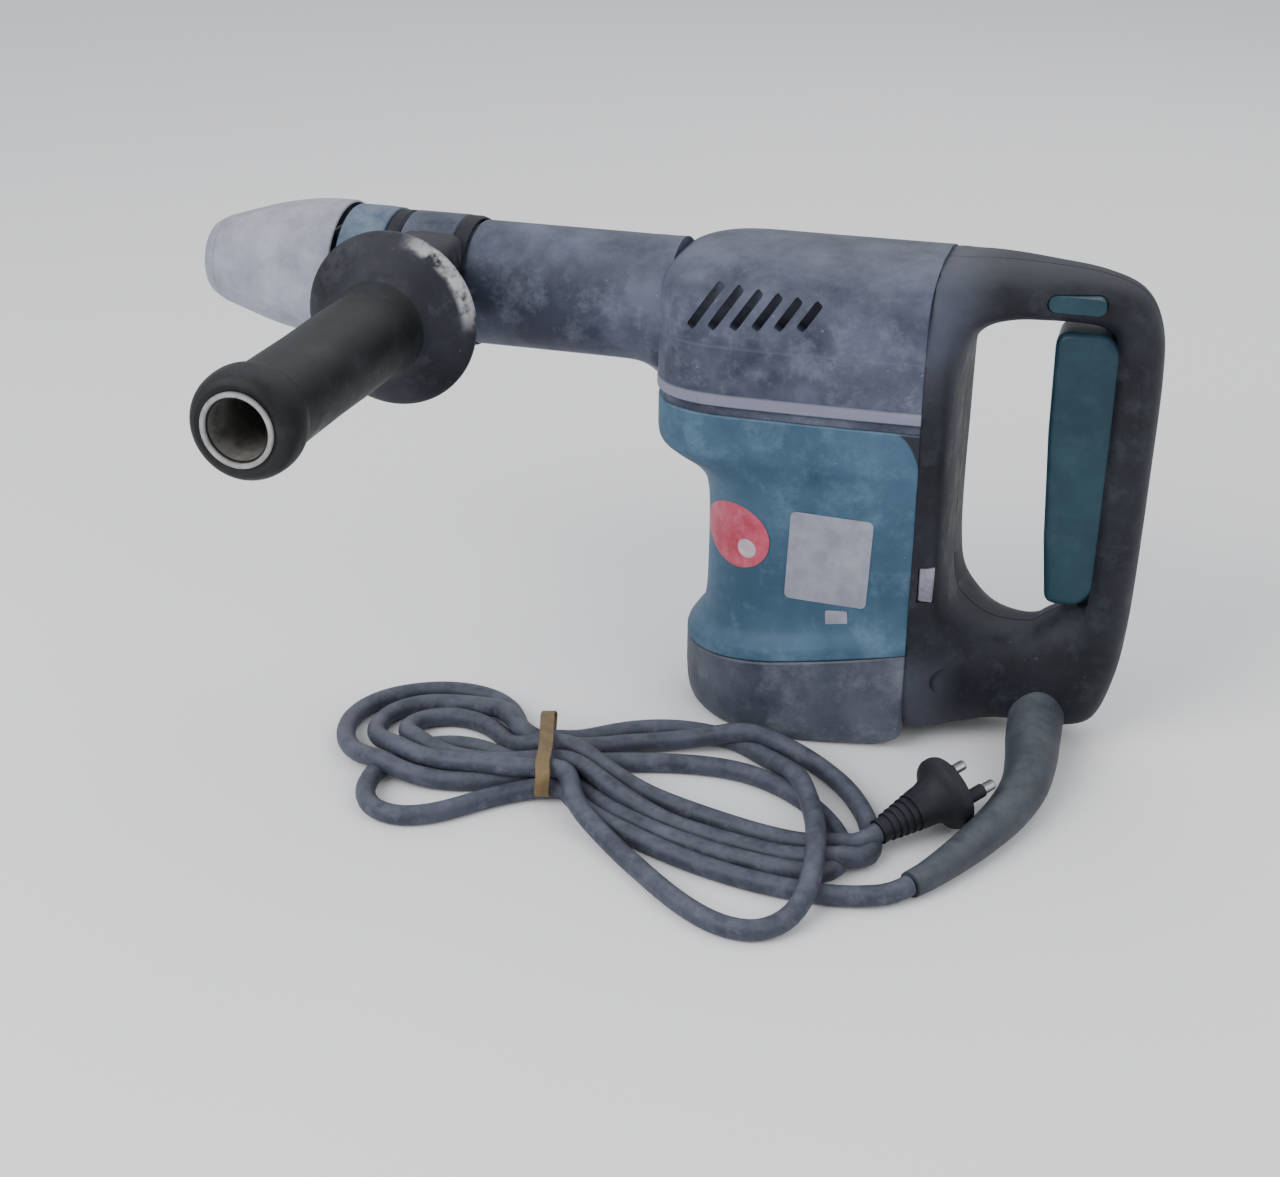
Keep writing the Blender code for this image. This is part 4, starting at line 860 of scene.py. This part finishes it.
def trigger():
    """Long paddle with full edges; its pivot pin is inside it."""
    outline = []
    for x, z, radius in ((113, 69.5, 5), (110, 100, 1), (107.3, 150, 1), (106.6, 196.3, 7),
                         (129, 196.3, 3), (137.5, 188, 4), (137.5, 80, 6), (128, 69.5, 5)):
        outline.append((Vector((x, z)), radius))
    points = []
    for index, (corner, radius) in enumerate(outline):
        before = (outline[index - 1][0] - corner).normalized()
        after = (outline[(index + 1) % len(outline)][0] - corner).normalized()
        for step in range(7):
            t = step / 6
            points.append(tuple(corner + before * radius * (1 - t) ** 2
                                + after * radius * t ** 2))
    paddle = add_piece("trigger_paddle", slab(points, -TRIGGER_HALF, TRIGGER_HALF),
                       "trigger", "trigger", "trigger")
    bevel(paddle, 3.2, 6, 50)
    add_piece("trigger_pivot", disc(TRIGGER_PIVOT, (0, 1, 0), 2.2, 24), "steel",
              node="trigger_pin")


def pill(centre, reach, radius, steps=10):
    """Outline of a slot with round ends along X."""
    outline = []
    for end, start in ((1, -90), (-1, 90)):
        for step in range(steps + 1):
            angle = math.radians(start + 180 * step / steps)
            outline.append((centre[0] + end * (reach - radius) + radius * math.cos(angle),
                            centre[1] + radius * math.sin(angle)))
    return outline


def handle():
    left = handle_half("handle_shell_left", -1, "handle_left")
    right = handle_half("handle_shell_right", 1, "handle_right")
    half = TRIGGER_HALF + 0.1 + GAP
    slot = [(118, 67.8), (146, 67.8), (146, 198), (118, 198)]    # the trigger's
    lens_hole = [(60, 76.7), (67, 76.7), (67, 93.3), (60, 93.3)]
    button_hole = slab(pill((115, 211.5), 12.4, 4.0), -40, -5)
    guard_hole = disc((115.5, -1, 30.0), (0, -16, -11.5), 12.4, 60)
    dimple = disc((75.0, -60, 36.0), (0, 1, 0), 7.0, 22.6, 40)
    cut(left, [slab(slot, -half, 5), slab(lens_hole, -60, -40.5), button_hole, guard_hole,
               dimple])
    screw_holes = [disc((x, side, z), (0, 1, 0), 4.4, 12.0, 28) for x, side, z in SCREW_SEATS]
    cut(right, [slab(slot, -5, half), *screw_holes])
    bevel(left, 0.5, 2, 50)
    bevel(right, 0.5, 2, 50)
    for number, (x, side, z) in enumerate(SCREW_SEATS, 1):
        head = disc((x, side + 0.1, z), (0, 1, 0), 3.7, 2.2)
        screw = add_piece(f"handle_screw_{number}", head, "steel")
        cut(screw, [disc((x, side + 1.2, z), (0, 1, 0), 1.6, 1.4, 6)])


# -------------------------------------------------------------------- nose

def nose():
    cap = [(radius, NOSE_X + behind) for radius, behind in (
        (16.2, 0), (16.9, 0.2), (17.6, 1), (18.6, 2.6), (19.4, 4.2), (20.3, 6.2), (9.4, 6.2),
        (9.4, 2), (10.4, 0.4), (12.5, 0))]
    add_piece("dust_cap", lathe(cap), "nose", "spindle", "front_dust_cap")
    outer = [tuple(row) for row in catmull([
        (20.6, -285.5), (22.3, -280), (25.3, -270), (28.05, -260.5), (30.3, -250), (31.8, -240),
        (32.35, -233)], 6)]
    sleeve = outer + [(32.4, -223.2), (32.1, -222.2), (31.4, -221.8), (31.4, -231), (29, -234),
                      (22, -262), (16.4, -275), (16.4, -285.5)]
    add_piece("sleeve_shell", lathe(sleeve), "nose", "release_sleeve", "release_sleeve")
    band = [(30.4, -219.8), (31, -219.2), (31, -205.5), (30.7, -199), (30.2, -198.4),
            (26, -198.4), (26, -219.8)]
    ring = add_piece("angle_ring_shell", lathe(band, steps=144), "blue", "angle_ring",
                     "angle_ring")
    bevel(ring, 0.35, 2, 40)
    gap = [(29.7, -198), (30, -197.8), (30, -192.2), (29.7, -192)]
    add_piece("dark_gap_ring", lathe(gap), "dark")


# ------------------------------------------------------------- side handle

def side_handle():
    band = [(27.5, -190.8), (29.6, -190.8), (30.2, -190.2), (30.2, -165.6), (29.6, -165),
            (27.5, -165)]
    add_piece("clamp_shell", lathe(band), "upper", "side_handle", "clamp_band")
    collar = [(28.7, -164.8), (30, -164.6), (30, -160), (29.4, -158), (28.7, -157.8)]
    add_piece("clamp_collar", lathe(collar), "black", "side_handle")
    levels = [(20, 16.8, 27, 5), (27, 16.8, 27, 5), (34, 16.9, 26.9, 4.6),
              (40, 17.7, 26.2, 3.8), (46, 19.2, 25, 3), (52, 20.8, 24.1, 2.6),
              (57, 22.2, 23.4, 2.2), (61, 23, 23, 2)]
    rings = [[(SIDE_GRIP_X + half_x * power(math.cos(a), 2 / square), -out,
               BARREL_Z + half_z * power(math.sin(a), 2 / square))
              for a in turns(64)]
             for out, half_x, half_z, square in (tuple(row) for row in catmull(levels, 3))]
    base = add_piece("handle_base_shell", loft(rings), "flange", "side_handle",
                     "side_handle_base")
    cut(base, [disc((-195, 0, BARREL_Z), (1, 0, 0), 30.5, 43, 96)])
    bevel(base, 0.8, 2, 45)


def grip():
    """The hollow grip with its bead and flange, and the pale ring in its end."""
    end = SIDE_GRIP_END
    hollow_r, flange_side = 12.2, 84
    outer = [tuple(row) for row in catmull([
        (17.6, end - 0.4), (19.4, end - 1.2), (21, end - 3.2), (22.2, end - 7),
        (22.5, end - 13), (21.6, end - 17.6), (20.6, end - 20)], 4)]
    shaft = [(19.6, end - 21.4), (19.5, end - 22.6), (19.3, end - 30), (19.2, 150), (19.7, 120),
             (19.6, 96)]
    flange = [tuple(row) for row in catmull([
        (19.6, 92), (20.2, 86.5), (22.6, 80.2), (27, 76.6), (32, 74), (36.6, 71),
        (38.7, 68.8), (39, 67.3), (38.4, 65.2), (35, 63.8), (30, 62.8)], 4)]
    flange = [row for row in flange if row[1] < shaft[-1][1]]
    profile = [(hollow_r, end - 1), (15.3, end - 1), *outer, *shaft, *flange, (22, 61.4),
               (4.4, 61.4), (4.4, 91), (8, 94), (8, 100), (hollow_r, 104)]
    turned = lathe([(radius, -along) for radius, along in profile], axis="Y",
                   centre=(SIDE_GRIP_X, BARREL_Z))
    piece = add_piece("grip_shell", turned, "rubber", "side_grip", "side_grip")
    piece.data.materials.append(LOOKS["flange"])
    piece.data.materials.append(LOOKS["hollow"])
    for polygon in piece.data.polygons:
        middle = polygon.center / MM
        out = math.hypot(middle.x - SIDE_GRIP_X, middle.z - BARREL_Z)
        if -middle.y < flange_side:
            polygon.material_index = 1
        elif out < hollow_r + 0.2:
            polygon.material_index = 2
    ring = [(13.1, end - 0.8), (15.1, end - 0.8), (15.1, end + 0.2), (14.8, end + 0.6),
            (13.5, end + 0.6), (13.1, end + 0.2)]
    turned = lathe([(radius, -along) for radius, along in ring], axis="Y",
                   centre=(SIDE_GRIP_X, BARREL_Z))
    add_piece("grip_ring_shell", turned, "pale", "side_grip", "grip_end_ring")


# ----------------------------------------------------------- small details

def copied(node, look, body, width):
    """A CAD part's own shape with softer edges."""
    mesh = frame["nodes"][node].data.copy()
    piece = add_piece(f"{node}_shell", mesh, look, body, node)
    merge = piece.modifiers.new("Merge", "WELD")
    merge.merge_threshold = 0.00002
    bevel(piece, width)
    settle(piece)
    return piece


def sticker(name, outline, look, lift=0.18, thick=0.25):
    """A thin sticker bent round the near side of the waist."""
    bm = bmesh.new()
    base = bmesh.ops.create_grid(bm, x_segments=1, y_segments=1, size=1)
    bmesh.ops.delete(bm, geom=base["verts"], context="VERTS")
    face = bm.faces.new([bm.verts.new((x, 0, z)) for x, z in outline])
    bmesh.ops.triangulate(bm, faces=[face])
    for _ in range(3):
        bmesh.ops.subdivide_edges(bm, edges=bm.edges, cuts=1, use_grid_fill=True)
    for vert in bm.verts:
        x, z = vert.co.x, vert.co.z
        share = min(max(x / (BODY_REAR - 5), 0), 1)
        half = WAIST_REAR + (WAIST_R - WAIST_REAR) * (1 - share * share)
        y = -(half + lift) if x >= 0 else -math.sqrt((WAIST_R + lift) ** 2 - x * x)
        vert.co = (x, y, z)
    mesh = mesh_of(bm)
    piece = add_piece(name, mesh, look)
    solid = piece.modifiers.new("Film", "SOLIDIFY")
    solid.thickness = thick * MM
    solid.offset = 1
    return settle(piece)


def oval(centre, half_x, half_z):
    return [(centre[0] + half_x * math.cos(a), centre[1] + half_z * math.sin(a))
            for a in turns(40)]


def tilted_square(centre, half_x, half_z, turn, round_r=2.5):
    """A square outline with round corners, turned about its centre."""
    outline = []
    for sx, sz, start in ((1, 1, 0), (-1, 1, 90), (-1, -1, 180), (1, -1, 270)):
        for step in range(5):
            angle = math.radians(start + 22.5 * step)
            outline.append((sx * (half_x - round_r) + round_r * math.cos(angle),
                            sz * (half_z - round_r) + round_r * math.sin(angle)))
    tilt = math.radians(turn)
    return [(centre[0] + x * math.cos(tilt) - z * math.sin(tilt),
             centre[1] + x * math.sin(tilt) + z * math.cos(tilt)) for x, z in outline]


def stickers():
    sticker("red_oval", oval((-24, 96), 17, 15), "red")
    sticker("oval_spot", oval((-18, 91.5), 4.6, 4.4), "mark", lift=0.5, thick=0.12)
    sticker("square_label", tilted_square((20, 92), 18.5, 21, -2), "label")
    sticker("small_patch", tilted_square((25, 63.5), 5, 4.5, 4, 1.2), "label")


def remaining_nodes():
    """Give every CAD part that still shows a finish of its own."""
    finish = {
        "steel": ("lower_bearing", "upper_bearing", "crank_bearing", "spindle_bearing",
                  "armature_shaft", "motor_pinion", "rotor_core", "crank_shaft", "crank_gear",
                  "bevel_shaft_gear", "bevel_pinion", "tool_holder", "spindle_cylinder",
                  "spindle_ring_gear", "locking_roller_a", "locking_roller_b", "sleeve_spring",
                  "gudgeon_pin", "connecting_rod", "crank_pin", "striker", "impact_bolt",
                  "clamp_bolt", "stator_core"),
        "copper": ("field_coil_1", "field_coil_2", "commutator"),
        "brass": ("brush_holder_a", "brush_holder_b"),
        "aluminium": ("gear_case", "gear_case_cover", "piston"),
        "dark": ("carbon_brush_a", "carbon_brush_b", "switch_body", "cooling_fan"),
    }
    for look, names in finish.items():
        for name in names:
            mesh = frame["nodes"][name].data
            if not mesh.materials:
                mesh.materials.append(None)
            for index in range(len(mesh.materials)):
                mesh.materials[index] = LOOKS[look]


# ------------------------------------------------------------------- stage

def stage():
    floor = bpy.data.meshes.new("floor")
    reach = 3.0
    floor.from_pydata([(-reach, -reach, 0), (reach, -reach, 0), (reach, reach, 0),
                       (-reach, reach, 0)], [], [(0, 1, 2, 3)])
    ground = placed("floor", floor)
    pale = bpy.data.materials.new("pale_floor")
    pale.use_nodes = True
    shader = pale.node_tree.nodes["Principled BSDF"]
    shader.inputs["Base Color"].default_value = (0.92, 0.92, 0.93, 1)
    shader.inputs["Roughness"].default_value = 0.8
    floor.materials.append(pale)
    world = bpy.data.worlds.new("Studio")
    world.use_nodes = True
    world.node_tree.nodes["Background"].inputs["Color"].default_value = (0.95, 0.97, 1.0, 1)
    world.node_tree.nodes["Background"].inputs["Strength"].default_value = 0.75
    bpy.context.scene.world = world
    for name, place, size, energy in (("Key", (-0.9, -1.3, 1.1), 1.2, 27.0),
                                      ("Fill", (1.3, -0.8, 0.9), 1.4, 9),
                                      ("Back", (0.2, 1.2, 1.5), 1.4, 8)):
        data = bpy.data.lights.new(name, "AREA")
        data.size = size
        data.energy = energy
        light = placed(name, data)
        light.location = place
        aim = Vector((-0.05, -0.03, 0.1)) - Vector(place)
        light.rotation_euler = aim.to_track_quat("-Z", "Y").to_euler()


make_camera()
LOOKS = make_looks()
lead, lead_length = make_lead()
guard = make_guard()
tie = make_tie()
plug = make_plug()
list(plug_pins())
base_shell()
motor_shell()
upper_shell()
barrel()
handle()
nose()
side_handle()
grip()
trigger()
copied("lock_button", "trigger", "lock_button", 0.5)
copied("indicator_lens", "lens", "body", 0.3)
stickers()
remaining_nodes()
stage()
